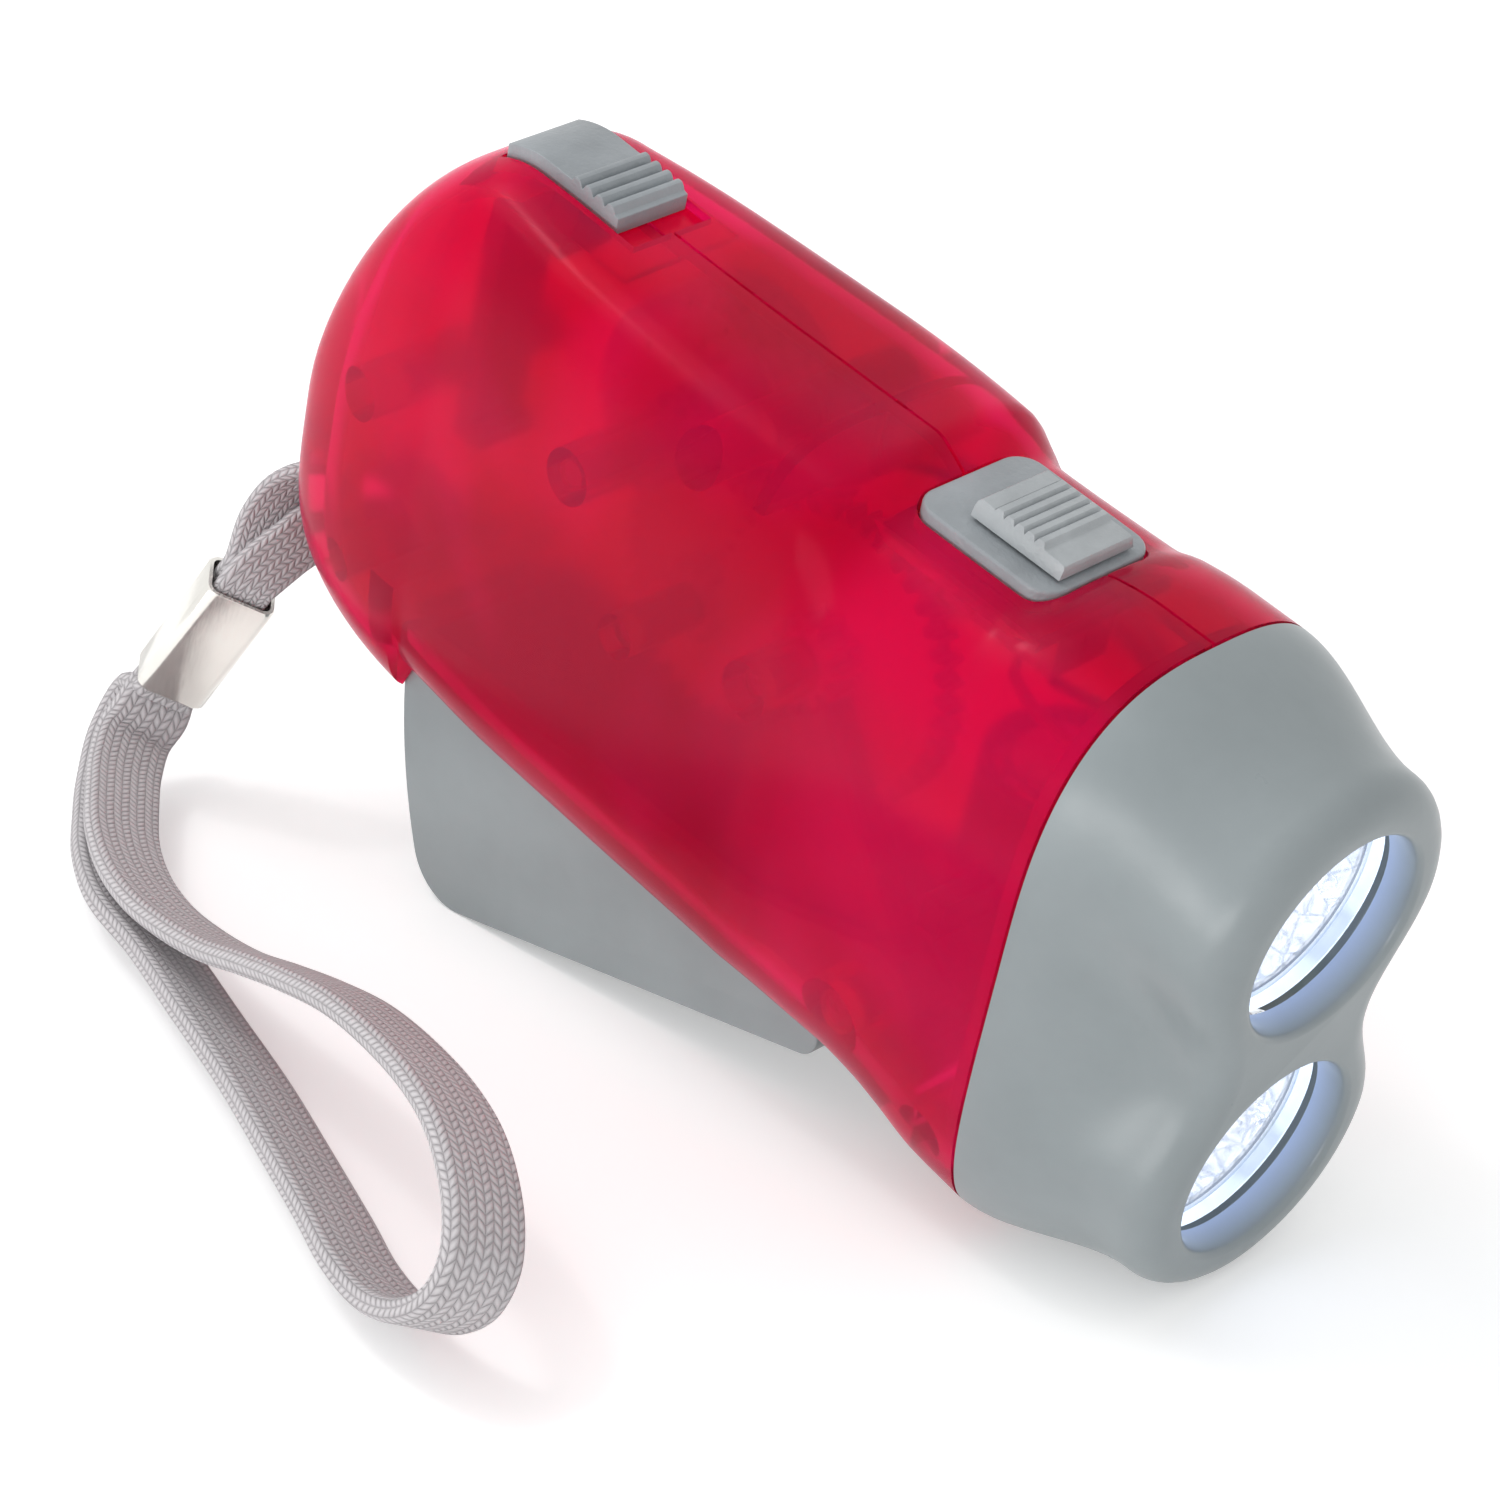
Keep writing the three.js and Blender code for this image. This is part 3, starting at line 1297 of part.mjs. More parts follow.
// Wrist strap: a flat band along a curve, whose width lies along a direction given at each point
class BandCurve extends THREE.CatmullRomCurve3 {
  constructor(points, lies) {
    super(points);
    this.lies = new THREE.CatmullRomCurve3(lies);
  }

  computeFrenetFrames(segments) {
    const frames = { tangents: [], normals: [], binormals: [] };
    for (let i = 0; i <= segments; i++) {
      const share = this.getUtoTmapping(i / segments);
      const tangent = this.getTangent(share);
      const lie = this.lies.getPoint(share);
      lie.addScaledVector(tangent, -lie.dot(tangent)).normalize();
      frames.tangents.push(tangent);
      frames.normals.push(lie);
      frames.binormals.push(tangent.clone().cross(lie));
    }
    return frames;
  }
}

function band(points, lies, width, thickness, steps) {
  const edge = (width - thickness) / 2;
  const rim = (thickness / 2) * bandEdgeShare;
  const corners = [[-width / 2, -rim], [-edge, -thickness / 2], [edge, -thickness / 2], [width / 2, -rim],
    [width / 2, rim], [edge, thickness / 2], [-edge, thickness / 2], [-width / 2, rim]];
  return new THREE.ExtrudeGeometry(polygon(corners), {
    steps, bevelEnabled: false, extrudePath: new BandCurve(points, lies),
  });
}

// The route in the frame of the standing flashlight. The last value of a row says how far the band's
// width has turned from its first direction to its last.
const ferruleTop = new THREE.Vector3(-59.1, -10.7, 22);
const ferruleBottom = new THREE.Vector3(-66.1, -13.4, 10.9);
const ferruleLie = new THREE.Vector3(0.492, 0.723, -0.486);
const loopLie = new THREE.Vector3(0.303, 0.838, -0.454);

const neckUpper = [[-57.5, -1.8, 31.2, 0.1], [-59.7, -4.4, 29, 0.4], [-60, -7.1, 26.6, 0.7]];
const neckLower = [[-56.6, -3, 26.4, 0.3], [-56.9, -6.8, 25.3, 0.6]];

const strapLoop = [
  [-66.8, -15, 8.3, 0], [-67.2, -16.7, 6.3, 0.1], [-64.9, -19.6, 5.4, 0.25],
  [-60.4, -23.5, 5.3, 0.5], [-55.3, -27.4, 5.3, 0.7], [-49.8, -30.4, 5.4, 1],
  [-44.4, -32.3, 5.6, 1], [-38.5, -33.6, 6.3, 1], [-32, -34.7, 7.6, 1], [-25.6, -35.7, 9.7, 1],
  [-18.5, -37.1, 12.1, 1], [-11, -38.7, 14.2, 1], [-3.4, -40.8, 15.5, 1], [3.6, -43, 16, 1],
  [8.4, -44.9, 15.7, 1], [12.2, -46.9, 14.6, 1], [15, -48.8, 12.9, 1], [16.6, -50.6, 10.7, 1],
  [16.1, -51.9, 7.9, 1], [13, -52.3, 5, 1], [8.5, -51.8, 3.2, 1], [2.7, -50.2, 2.7, 1],
  [-3.6, -47.6, 2.7, 1], [-12.7, -44, 2.7, 1], [-22, -40.4, 2.7, 1], [-32.4, -36.9, 2.7, 1],
  [-42.2, -33.6, 2.7, 1], [-50.2, -31.4, 2.7, 1], [-56, -28.4, 2.7, 0.7], [-61.2, -24.4, 2.7, 0.5],
  [-66, -20.2, 3, 0.25], [-69.3, -16.2, 4.9, 0.1], [-69, -13.5, 8.3, 0],
];

const strandRun = 1.5;
const ferruleLength = ferruleTop.distanceTo(ferruleBottom);
const ferruleDown = ferruleBottom.clone().sub(ferruleTop).normalize();
const ferruleAcross = ferruleLie.clone()
  .addScaledVector(ferruleDown, -ferruleLie.dot(ferruleDown)).normalize();
const ferruleOut = ferruleDown.clone().cross(ferruleAcross);
const strandShift = (neckThickness + fitGap) / 2;

function alongRoute(rows, from, to) {
  return {
    points: rows.map(([x, y, z]) => new THREE.Vector3(x, y, z)),
    lies: rows.map((row) => from.clone().lerp(to, row[3])),
  };
}

function wristStrap() {
  const { points, lies } = alongRoute(strapLoop, ferruleAcross, loopLie);
  const start = ferruleBottom.clone().addScaledVector(ferruleDown, fitGap);
  points.unshift(start.clone().addScaledVector(ferruleOut, strandShift * 1.3));
  points.push(start.clone().addScaledVector(ferruleOut, -strandShift * 1.3));
  lies.unshift(ferruleAcross);
  lies.push(ferruleAcross);
  return band(points, lies, strapWidth, strapThickness, strapSteps);
}

// The neck goes up through the ferrule, round the post and back
function strapNeck(toRest) {
  const across = new THREE.Vector3(0, 1, 0);
  const upper = alongRoute(neckUpper, across, ferruleAcross);
  const lower = alongRoute(neckLower, across, ferruleAcross);
  const reaches = [-strandRun, 0, ferruleLength / 2, ferruleLength];
  const inFerrule = (side) => reaches.map((reach) => ferruleTop.clone()
    .addScaledVector(ferruleDown, reach).addScaledVector(ferruleOut, strandShift * side));
  const straight = [ferruleAcross, ferruleAcross, ferruleAcross, ferruleAcross];
  const points = [...inFerrule(-1).reverse(), ...upper.points.reverse()];
  const lies = [...straight, ...upper.lies.reverse()];
  const reach = postRadius + fitGap + neckThickness / 2;
  const mouth = tailEnd - postX + fitGap * 4;
  const round = [[mouth, reach], [0, reach]];
  for (let turn = 60; turn >= -60; turn -= 30) {
    round.push([reach * Math.cos(radians(turn)), reach * Math.sin(radians(turn))]);
  }
  round.push([0, -reach], [mouth, -reach]);
  for (const [forward, up] of round) {
    points.push(toRest(new THREE.Vector3(postX + forward, 0, postHeight + up)));
    lies.push(across);
  }
  points.push(...lower.points, ...inFerrule(1));
  lies.push(...lower.lies, ...straight);
  return band(points, lies, neckWidth, neckThickness, neckSteps);
}

function strapFerrule() {
  const halfWidth = neckWidth / 2 + fitGap;
  const halfThickness = neckThickness + fitGap * 1.5;
  const shape = roundedOutline(-halfWidth - ferruleWall, halfWidth + ferruleWall,
    halfThickness + ferruleWall, ferruleCorner + ferruleWall);
  shape.holes.push(roundedOutline(-halfWidth, halfWidth, halfThickness, ferruleCorner));
  const geometry = new THREE.ExtrudeGeometry(shape, {
    depth: ferruleLength, bevelEnabled: false, curveSegments: 3,
  });
  const depthways = ferruleDown.clone().cross(ferruleAcross);
  geometry.applyMatrix4(new THREE.Matrix4().makeBasis(ferruleAcross, depthways, ferruleDown));
  geometry.translate(ferruleTop.x, ferruleTop.y, ferruleTop.z);
  return geometry;
}

const flashlight = new THREE.Group();
const body = new THREE.Group();
flashlight.add(body);

function place(name, geometry, material, x = 0, y = 0, z = 0) {
  const mesh = named(name, geometry, material);
  mesh.position.set(x, y, z);
  body.add(mesh);
  return mesh;
}

place("right_shell", bodyShell(-1), "redShell");
place("left_shell", bodyShell(1), "redShell");
for (const screw of screws) place(screw.name, shellScrew(screw), "steel");
place("head_bezel", headBezel(), "greyPlastic");
for (const [word, side] of [["upper", 1], ["lower", -1]]) {
  place(`lens_${word}`, lens(), "clearPlastic", 0, 0, side * lampHeight);
  place(`reflector_${word}`, reflector(), "mirror", 0, 0, side * lampHeight);
  place(`led_${word}`, led(), "clearPlastic", 0, 0, side * lampHeight);
}
place("led_board", ledBoard(), "board");
place("squeeze_lever", squeezeLever(), "greyPlastic", leverPivot.x, 0, leverPivot.y);
const pivotPinReach = leverHalfWidth + runningGap + shellWall - fitGap;
place("lever_pivot_pin", pinY(pivotPinRadius, -pivotPinReach, pivotPinReach), "steel",
  leverPivot.x, 0, leverPivot.y);
place("return_spring", returnSpring(), "steel", leverPivot.x, 0, leverPivot.y);
place("first_gear", firstGear(), "whitePlastic", firstAxis.x, 0, firstAxis.y);
place("second_gear", secondGear(), "whitePlastic", secondAxis.x, 0, secondAxis.y);
place("rotor_flywheel", flywheel(), "steel", rotorAxis.x, 0, rotorAxis.y);
place("rotor_magnet", rotorMagnet(), "magnet", rotorAxis.x, 0, rotorAxis.y);
for (const [word, axis] of [["first", firstAxis], ["second", secondAxis], ["rotor", rotorAxis]]) {
  const reach = axleTip[word] - fitGap;
  place(`${word}_axle`, pinY(axleRadius, -reach, reach, smallSides), "steel", axis.x, 0, axis.y);
}
place("claw_plate_inner", clawPlateSolid(-1), "steel", rotorAxis.x, 0, rotorAxis.y);
place("claw_plate_outer", clawPlateSolid(1), "steel", rotorAxis.x, 0, rotorAxis.y);
place("coil_bobbin", coilBobbin(), "blackPlastic", rotorAxis.x, 0, rotorAxis.y);
place("coil_winding", coilWinding(), "copper", rotorAxis.x, 0, rotorAxis.y);
place("lock_slider", lockSlider(), "lightGrey");
place("switch_plate", switchPlate(), "lightGrey");
place("switch_thumb", switchThumb(), "lightGrey");
place("slide_switch", switchCan(), "steel");
place("cell_holder", cellHolder(), "blackPlastic", cellX, 0, 0);
for (let i = 0; i < cellCount; i++) {
  place(`cell_${i + 1}`, cell(), "steel", cellX, 0, (i - (cellCount - 1) / 2) * stackPitch);
}
place("contact_upper", cellContact(1), "steel", cellX, 0, 0);
place("contact_lower", cellContact(-1), "steel", cellX, 0, 0);
const diodePitch = diodeLength + diodeSpacing;
const diodeX = boardRear - fitGap - diodeRadius;
const diodeY = boardHalfWidth - diodeRadius * 2;
for (const [number, sideways, row] of [[1, -1, 1], [2, 1, 1], [3, -1, 2], [4, 1, 2]]) {
  place(`diode_${number}`, diode(), "blackPlastic", diodeX, diodeY * sideways, -diodePitch * row);
}
for (const [name, points] of Object.entries(leads)) {
  place(name, lead(points), /1|upper/.test(name) ? "redLead" : "blackLead");
}

// The body tips until the lever's heel and the lower rim of the head stand level
const heelCentre = leverPivot.clone().add(leverHeelCentre());
const rimCentre = new THREE.Vector2(rimStart, -lampHeight - lampRimRadius + rimRounding);
const stance = rimCentre.clone().sub(heelCentre);
const pitch = stance.angle() - Math.asin((rimRounding - leverHeelRadius) / stance.length());
body.rotation.y = pitch;
body.updateMatrixWorld(true);
const extent = new THREE.Box3().setFromObject(body, true);
body.position.set(-(extent.min.x + extent.max.x) / 2, 0, -extent.min.z);
body.updateMatrixWorld(true);

flashlight.add(named("strap_neck", strapNeck((point) => body.localToWorld(point)), "strapCloth"));
flashlight.add(named("strap_ferrule", strapFerrule(), "steel"));
flashlight.add(named("wrist_strap", wristStrap(), "strapCloth"));

export default flashlight;
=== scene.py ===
"""Looks of the squeeze flashlight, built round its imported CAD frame.

Pieces are drawn in millimetres in the body's own frame: X forward along the beams, Y to the left and
Z up, from the middle of the head's front face. REST turns that frame into the row's frame in metres.
The strap is drawn in millimetres in the row's frame, and STAND turns those into metres.
"""
import json
from contextlib import contextmanager
from functools import partial
from math import asin, atan2, copysign, cos, dist, hypot, pi, radians, sin, sqrt, tau

import bmesh
import bpy
import numpy as np
from mathutils import Matrix, Vector


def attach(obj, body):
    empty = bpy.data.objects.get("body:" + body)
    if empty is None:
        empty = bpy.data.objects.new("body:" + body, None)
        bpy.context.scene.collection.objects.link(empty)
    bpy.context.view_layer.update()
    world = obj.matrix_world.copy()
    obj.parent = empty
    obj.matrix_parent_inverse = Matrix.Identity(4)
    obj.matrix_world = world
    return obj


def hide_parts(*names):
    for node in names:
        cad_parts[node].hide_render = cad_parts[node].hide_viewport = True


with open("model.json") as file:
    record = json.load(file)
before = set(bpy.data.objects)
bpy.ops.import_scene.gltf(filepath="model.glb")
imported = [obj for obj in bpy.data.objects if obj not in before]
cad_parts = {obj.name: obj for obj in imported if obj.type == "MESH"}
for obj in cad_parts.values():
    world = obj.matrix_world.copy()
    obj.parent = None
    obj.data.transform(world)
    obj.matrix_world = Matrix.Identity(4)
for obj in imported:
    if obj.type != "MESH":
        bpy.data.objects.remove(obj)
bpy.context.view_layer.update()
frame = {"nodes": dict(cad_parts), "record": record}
scene = bpy.context.scene

MM = 0.001
# Gap in mm round what moves or threads through
RUNNING = 0.3
REST_PLACE, REST_TILT = (0.0497665, 0, 0.0226795), 0.21552707773
STAND = Matrix.Scale(MM, 4)
REST = Matrix.Translation(REST_PLACE) @ Matrix.Rotation(REST_TILT, 4, "Y") @ STAND


# Camera
def make_camera():
    """The photo's camera, by its place and its directions right, down and ahead."""
    data = bpy.data.cameras.new("camera")
    data.sensor_width, data.lens = 36, 120
    data.clip_start, data.clip_end = 0.01, 50
    camera = bpy.data.objects.new("camera", data)
    scene.collection.objects.link(camera)
    place = (0.2387012, -0.2438358, 0.2223276)
    right = Vector((0.695150, 0.718625, 0.018593))
    down = Vector((0.368749, -0.334261, -0.867349))
    ahead = Vector((-0.617083, 0.609793, -0.497353))
    turn = Matrix((right, -down, -ahead)).transposed().to_4x4()
    camera.matrix_world = Matrix.Translation(place) @ turn
    scene.camera = camera


make_camera()


# Outlines
def polar(radius, turn, centre=(0, 0)):
    return centre[0] + radius * cos(turn), centre[1] + radius * sin(turn)


def arc(centre, radius, start, end, steps):
    return [polar(radius, start + (end - start) * i / steps, centre) for i in range(steps + 1)]


def circle(centre, radius, sides, shift=0.0):
    """Points of a circle, turned by a share of the step between two of them."""
    return [polar(radius, tau * (i + shift) / sides, centre) for i in range(sides)]


def rounded(low, high, radius, steps=6, first=0):
    """A rectangle with round corners between two opposite corners, which starts at one of its quarters."""
    points = []
    for quarter in range(first, first + 4):
        centre = (low[0] + radius if quarter % 4 in (1, 2) else high[0] - radius,
                  low[1] + radius if quarter % 4 in (2, 3) else high[1] - radius)
        for i in range(steps + 1):
            points.append(polar(radius, radians(90 * quarter + 90 * i / steps), centre))
    return points


# Meshes
# Distances in mm at which points become one: where a turned profile meets its axis, and after all cuts
ON_AXIS, SLIVER = 0.0001, 0.0005
# Angle under which two faces are flat, in radians
FLAT = 0.004
# Places in mm past every face: of what is added or bored, of what cuts, and of a half space
PAST, PAST_CUT, PAST_ALL = 60, 90, 200
# For each axis of a prism, which of an outline's two numbers and the place along it are X, Y and Z
ORDERS = {"X": (2, 0, 1), "Y": (0, 2, 1), "Z": (0, 1, 2)}


@contextmanager
def edited(mesh):
    """A mesh opened for changes, which are written back at the end."""
    work = bmesh.new()
    work.from_mesh(mesh)
    yield work
    work.to_mesh(mesh)
    work.free()


def mesh_object(name, points, faces):
    mesh = bpy.data.meshes.new(name)
    mesh.from_pydata([tuple(p) for p in points], [], faces)
    mesh.update()
    piece = bpy.data.objects.new(name, mesh)
    scene.collection.objects.link(piece)
    return piece


def merge(mesh, distance):
    """Merges points that lie in one place, so that no empty face stays."""
    with edited(mesh) as work:
        bmesh.ops.remove_doubles(work, verts=work.verts[:], dist=distance)


def facing_out(piece):
    with edited(piece.data) as work:
        bmesh.ops.recalc_face_normals(work, faces=work.faces[:])
    return piece


def shade(mesh, degrees):
    """Smooth faces, with sharp edges where faces meet at more than an angle."""
    limit = radians(degrees)
    with edited(mesh) as work:
        for face in work.faces:
            face.smooth = True
        for edge in work.edges:
            edge.smooth = edge.calc_face_angle(pi) < limit


def soften(piece, width, segments, degrees, keep=None):
    """Rounds the edges that are sharper than an angle, or those of them to keep."""
    limit = radians(degrees)
    with edited(piece.data) as work:
        bmesh.ops.dissolve_limit(work, angle_limit=FLAT, verts=work.verts[:], edges=work.edges[:])
        edges = [e for e in work.edges if e.calc_face_angle(0) > limit and (keep is None or keep(e))]
        bmesh.ops.bevel(work, geom=edges, offset=width, segments=segments, profile=0.5, affect="EDGES",
                        clamp_overlap=True)


def strips(starts, count):
    """Faces from each closed ring of points to the next, by the index of each ring's first point."""
    return [(a + i, a + (i + 1) % count, b + (i + 1) % count, b + i)
            for a, b in zip(starts, starts[1:]) for i in range(count)]


def lofted(name, rings):
    """A closed skin over rings of equal count."""
    count, last = len(rings[0]), (len(rings) - 1) * len(rings[0])
    faces = strips(range(0, last + 1, count), count)
    faces += [tuple(reversed(range(count))), tuple(range(last, last + count))]
    return facing_out(mesh_object(name, [p for ring in rings for p in ring], faces))


def prism(name, outline, low, high, axis="Y"):
    """A plate over an outline of the plane across an axis, from one place to another along it."""
    order = ORDERS[axis]
    return lofted(name, [[tuple((a, b, c)[k] for k in order) for a, b in outline] for c in (low, high)])


def box(name, low, high):
    outline = [(low[0], low[1]), (high[0], low[1]), (high[0], high[1]), (low[0], high[1])]
    return prism(name, outline, low[2], high[2], "Z")


def bar(name, place, radius, low=-PAST, high=PAST):
    """A round bar along Y, at a place in X and Z."""
    return prism(name, circle(place, radius, 40), low, high)


def ring_round(z, x, radius, sides, shift=0.0):
    """A ring of points round the axis along X at a height."""
    return [(x, y, height) for y, height in circle((0, z), radius, sides, shift)]


def turned(name, profile, z, sides=72):
    """A piece turned round the axis along X at a height. The profile gives X and radius."""
    points = [point for x, radius in profile for point in ring_round(z, x, radius, sides)]
    piece = mesh_object(name, points, strips(range(0, len(points), sides), sides))
    merge(piece.data, ON_AXIS)
    return facing_out(piece)


def combine(operation, piece, *others):
    """Changes a piece by others, which are used up."""
    for other in others:
        change = piece.modifiers.new("change", "BOOLEAN")
        change.operation = operation
        change.solver = "MANIFOLD"
        change.object = other
    view = bpy.context.evaluated_depsgraph_get()
    mesh = bpy.data.meshes.new_from_object(piece.evaluated_get(view))
    spent = [piece.data] + [other.data for other in others]
    piece.modifiers.clear()
    piece.data = mesh
    for other in others:
        bpy.data.objects.remove(other)
    for old in spent:
        bpy.data.meshes.remove(old)
    return piece


cut, join, meet = (partial(combine, operation) for operation in ("DIFFERENCE", "UNION", "INTERSECT"))


# Materials
class Nodes:
    """A short way to write the nodes of a material or of the world."""

    def __init__(self, owner):
        owner.use_nodes = True
        self.owner = owner
        self.tree = owner.node_tree
        self.shader = self.tree.nodes.get("Principled BSDF")
        self.place = None

    def feed(self, socket, value):
        """Gives an input a number, a vector, a colour or another node's output."""
        if isinstance(value, bpy.types.NodeSocket):
            self.tree.links.new(value, socket)
        elif socket.type == "RGBA":
            socket.default_value = (*value, 1)
        else:
            socket.default_value = value

    def add(self, kind, inputs=None, **settings):
        node = self.tree.nodes.new("ShaderNode" + kind)
        for key, value in settings.items():
            setattr(node, key, value)
        for key, value in (inputs or {}).items():
            self.feed(node.inputs[key], value)
        return node

    def set(self, **values):
        """Feeds the material's shader. An underscore stands for a space in an input's name."""
        for key, value in values.items():
            self.feed(self.shader.inputs[key.replace("_", " ")], value)

    def coordinate(self):
        if self.place is None:
            self.place = self.add("TexCoord").outputs["Object"]
        return self.place

    def math(self, operation, a, b=0.0):
        return self.add("Math", {0: a, 1: b}, operation=operation).outputs[0]

    def times(self, a, b):
        return self.math("MULTIPLY", a, b)

    def plus(self, a, b):
        return self.math("ADD", a, b)

    def mix(self, factor, a, b):
        return self.add("Mix", {0: factor, 6: a, 7: b}, data_type="RGBA").outputs[2]

    def noise(self, scale, detail=3.0, roughness=0.5, distortion=0.0, vector=None):
        inputs = {"Vector": vector or self.coordinate(), "Scale": scale, "Detail": detail,
                  "Roughness": roughness, "Distortion": distortion}
        return self.add("TexNoise", inputs).outputs["Fac"]

    def stretch(self, value, low, high, new_low=0.0, new_high=1.0):
        inputs = {"Value": value, "From Min": low, "From Max": high, "To Min": new_low, "To Max": new_high}
        return self.add("MapRange", inputs).outputs["Result"]

    def patches(self, scale, detail=3.0, roughness=0.5, least=0.0, most=1.0):
        """Soft patches of noise, from one value to another."""
        return self.stretch(self.noise(scale, detail, roughness), 0.3, 0.7, least, most)

    def bump(self, height, strength, distance):
        node = self.add("Bump", {"Height": height, "Strength": strength, "Distance": distance})
        self.set(Normal=node.outputs["Normal"])

    def seen(self):
        """1 for what the camera sees, also in gloss and through clear pieces, and 0 for other rays."""
        path = self.add("LightPath").outputs
        through = self.math("MAXIMUM", path["Is Glossy Ray"], path["Is Transmission Ray"])
        return self.math("MAXIMUM", path["Is Camera Ray"], through)


def new_material(name):
    return Nodes(bpy.data.materials.new(name))


def moulded(made, colour, glossiest, dullest, grain, grain_scale):
    """Fills in a moulded plastic: a colour, an uneven gloss and a fine grain."""
    made.set(Base_Color=colour,
             Roughness=made.stretch(made.noise(260, 3, 0.55), 0.25, 0.75, glossiest, dullest))
    made.bump(made.noise(grain_scale, 2, 0.6), 0.35, grain)
    return made.owner


# Unevenness of a plastic's colour, and its grain's height in metres and scale
FINE_GRAIN = (0.06, 0.00002, 1500)
COARSE_GRAIN = (0.2, 0.00018, 2200)


def tinted(colour, share):
    return tuple(min(c * share, 1) for c in colour)


def plastic(name, colour, roughness, texture=FINE_GRAIN):
    made = new_material(name)
    mottle, grain, grain_scale = texture
    uneven = made.mix(made.patches(90, 4, 0.6), tinted(colour, 1 - mottle), tinted(colour, 1 + mottle))
    return moulded(made, uneven, roughness - 0.05, roughness + 0.05, grain, grain_scale)


def head_plastic(name):
    """The head's grey plastic, which turns bluish down in the wells of its lamps. That blue is the wells'
    own tone, made lighter to make up for the shade in them, and that lightness is painted light.
    """
    made = new_material(name)
    depth = made.add("Attribute", attribute_name="well").outputs["Fac"]
    grey = made.mix(made.patches(90, 4, 0.6), (0.245, 0.278, 0.288), (0.275, 0.31, 0.322))
    # The well blue is lighter than the wells' own tone: painted light against their shade
    return moulded(made, made.mix(depth, grey, (0.46, 0.58, 0.84)), 0.27, 0.36, *FINE_GRAIN[1:])


def metal(name, colour, roughness, glow=None):
    """Metal with a fine drawn grain. The glow is a colour that it gives off: a painted glow that stands in
    for a bright reflection, as the metal is no lamp.
    """
    made = new_material(name)
    drawn = made.add("Mapping", {"Vector": made.coordinate(), "Scale": (1, 9, 1)}).outputs["Vector"]
    streaks = made.noise(700, vector=drawn)
    made.set(Base_Color=made.mix(made.patches(160), tinted(colour, 0.93), colour), Metallic=1.0,
             Roughness=made.stretch(streaks, 0.25, 0.75, roughness - 0.07, roughness + 0.07))
    # Painted glow in place of a bright reflection
    if glow:
        made.set(Emission_Color=glow, Emission_Strength=0.4)
    made.bump(streaks, 0.3, 0.00001)
    return made.owner


def red_shell(name):
    """Clear crimson plastic with soft clouds, as moulded, and a faint grain."""
    made = new_material(name)
    cloud = made.stretch(made.noise(26, 2, 0.5, 1.0), 0.40, 0.62)
    made.set(Base_Color=made.mix(cloud, (0.72, 0.003, 0.062), (0.97, 0.008, 0.135)),
             Roughness=made.patches(300, least=0.17, most=0.23),
             Transmission_Weight=0.70, IOR=1.18, Specular_Tint=(1.0, 0.30, 0.45),
             Sheen_Weight=0.3, Sheen_Roughness=0.35, Sheen_Tint=(1.0, 0.07, 0.32))
    made.bump(made.noise(620, 2, 0.5), 0.12, 0.00002)
    return made.owner


def clear(name, colour, least, most):
    """Clear plastic, seen through by its alpha, which grows where it's seen from the side."""
    made = new_material(name)
    edge = made.add("LayerWeight", {"Blend": 0.35}).outputs["Fresnel"]
    made.set(Base_Color=colour, Roughness=made.patches(200, least=0.03, most=0.06), IOR=1.46,
             Alpha=made.stretch(edge, 0, 1, least, most))
    return made.owner


def mirror(name):
    """Bright metal film of the reflectors, with a painted glow that stands in for their bright reflection,
    dimmer along thin creases.
    """
    made = new_material(name)
    crumple = made.noise(620, 2, 0.5, 1.5)
    cells = made.add("TexVoronoi", {"Vector": made.coordinate(), "Scale": 430}, feature="DISTANCE_TO_EDGE")
    glow_creases = made.stretch(cells.outputs["Distance"], 0.0, 0.07, 0.3, 1.0)
    # Painted glow: emission in place of the bright reflection, weaker along the creases and where the film
    # crumples
    made.set(Base_Color=made.mix(made.patches(150), (0.86, 0.89, 0.94), (0.95, 0.96, 0.98)),
             Metallic=1.0, Roughness=made.patches(400, least=0.06, most=0.12),
             Emission_Color=(0.92, 0.96, 1.0),
             Emission_Strength=made.times(glow_creases, made.stretch(crumple, 0.36, 0.52, 0.35, 1.0)))
    made.bump(crumple, 0.5, 0.00025)
    return made.owner


# Width of a row of stitches and length of a stitch in mm, and how many stitches a row leans
ROW_WIDTH, STITCH_LENGTH, STITCH_LEAN = 0.72, 0.75, 0.72


def braid(name):
    """Flat braid: rows of slanting stitches along the band, leaning left and right by turns, with painted
    shade in the hollows between stitches.
    """
    made = new_material(name)

    def arches(value):
        return made.math("SINE", made.times(made.math("FRACT", value), pi))

    flat = made.add("SeparateXYZ", {"Vector": made.add("UVMap", uv_map="braid").outputs["UV"]}).outputs
    row = made.times(flat["Y"], 1 / (ROW_WIDTH * MM))
    lean = made.times(made.math("PINGPONG", row, 1), STITCH_LEAN)
    along = made.plus(made.times(flat["X"], 1 / (STITCH_LENGTH * MM)), lean)
    along = made.plus(along, made.times(made.noise(900, 2), 0.22))
    height = made.times(made.math("POWER", arches(along), 0.55), made.math("POWER", arches(row), 0.4))
    fuzzy = made.plus(height, made.times(made.noise(3400, 2, 0.6), 0.35))
    # Painted shade: the colour darkens from the stitches' crowns into their hollows by the weave's height,
    # and the fine noise in it is the yarn's own tone
    shaded_weave = made.mix(made.stretch(fuzzy, 0.25, 1.15), (0.35, 0.33, 0.345), (0.62, 0.595, 0.61))
    worn = made.times(made.patches(140), 0.3)
    made.set(Base_Color=made.mix(worn, shaded_weave, (0.60, 0.57, 0.59)),
             Roughness=0.9, Sheen_Weight=0.2, Sheen_Roughness=0.5)
    made.bump(fuzzy, 0.8, 0.00022)
    return made.owner


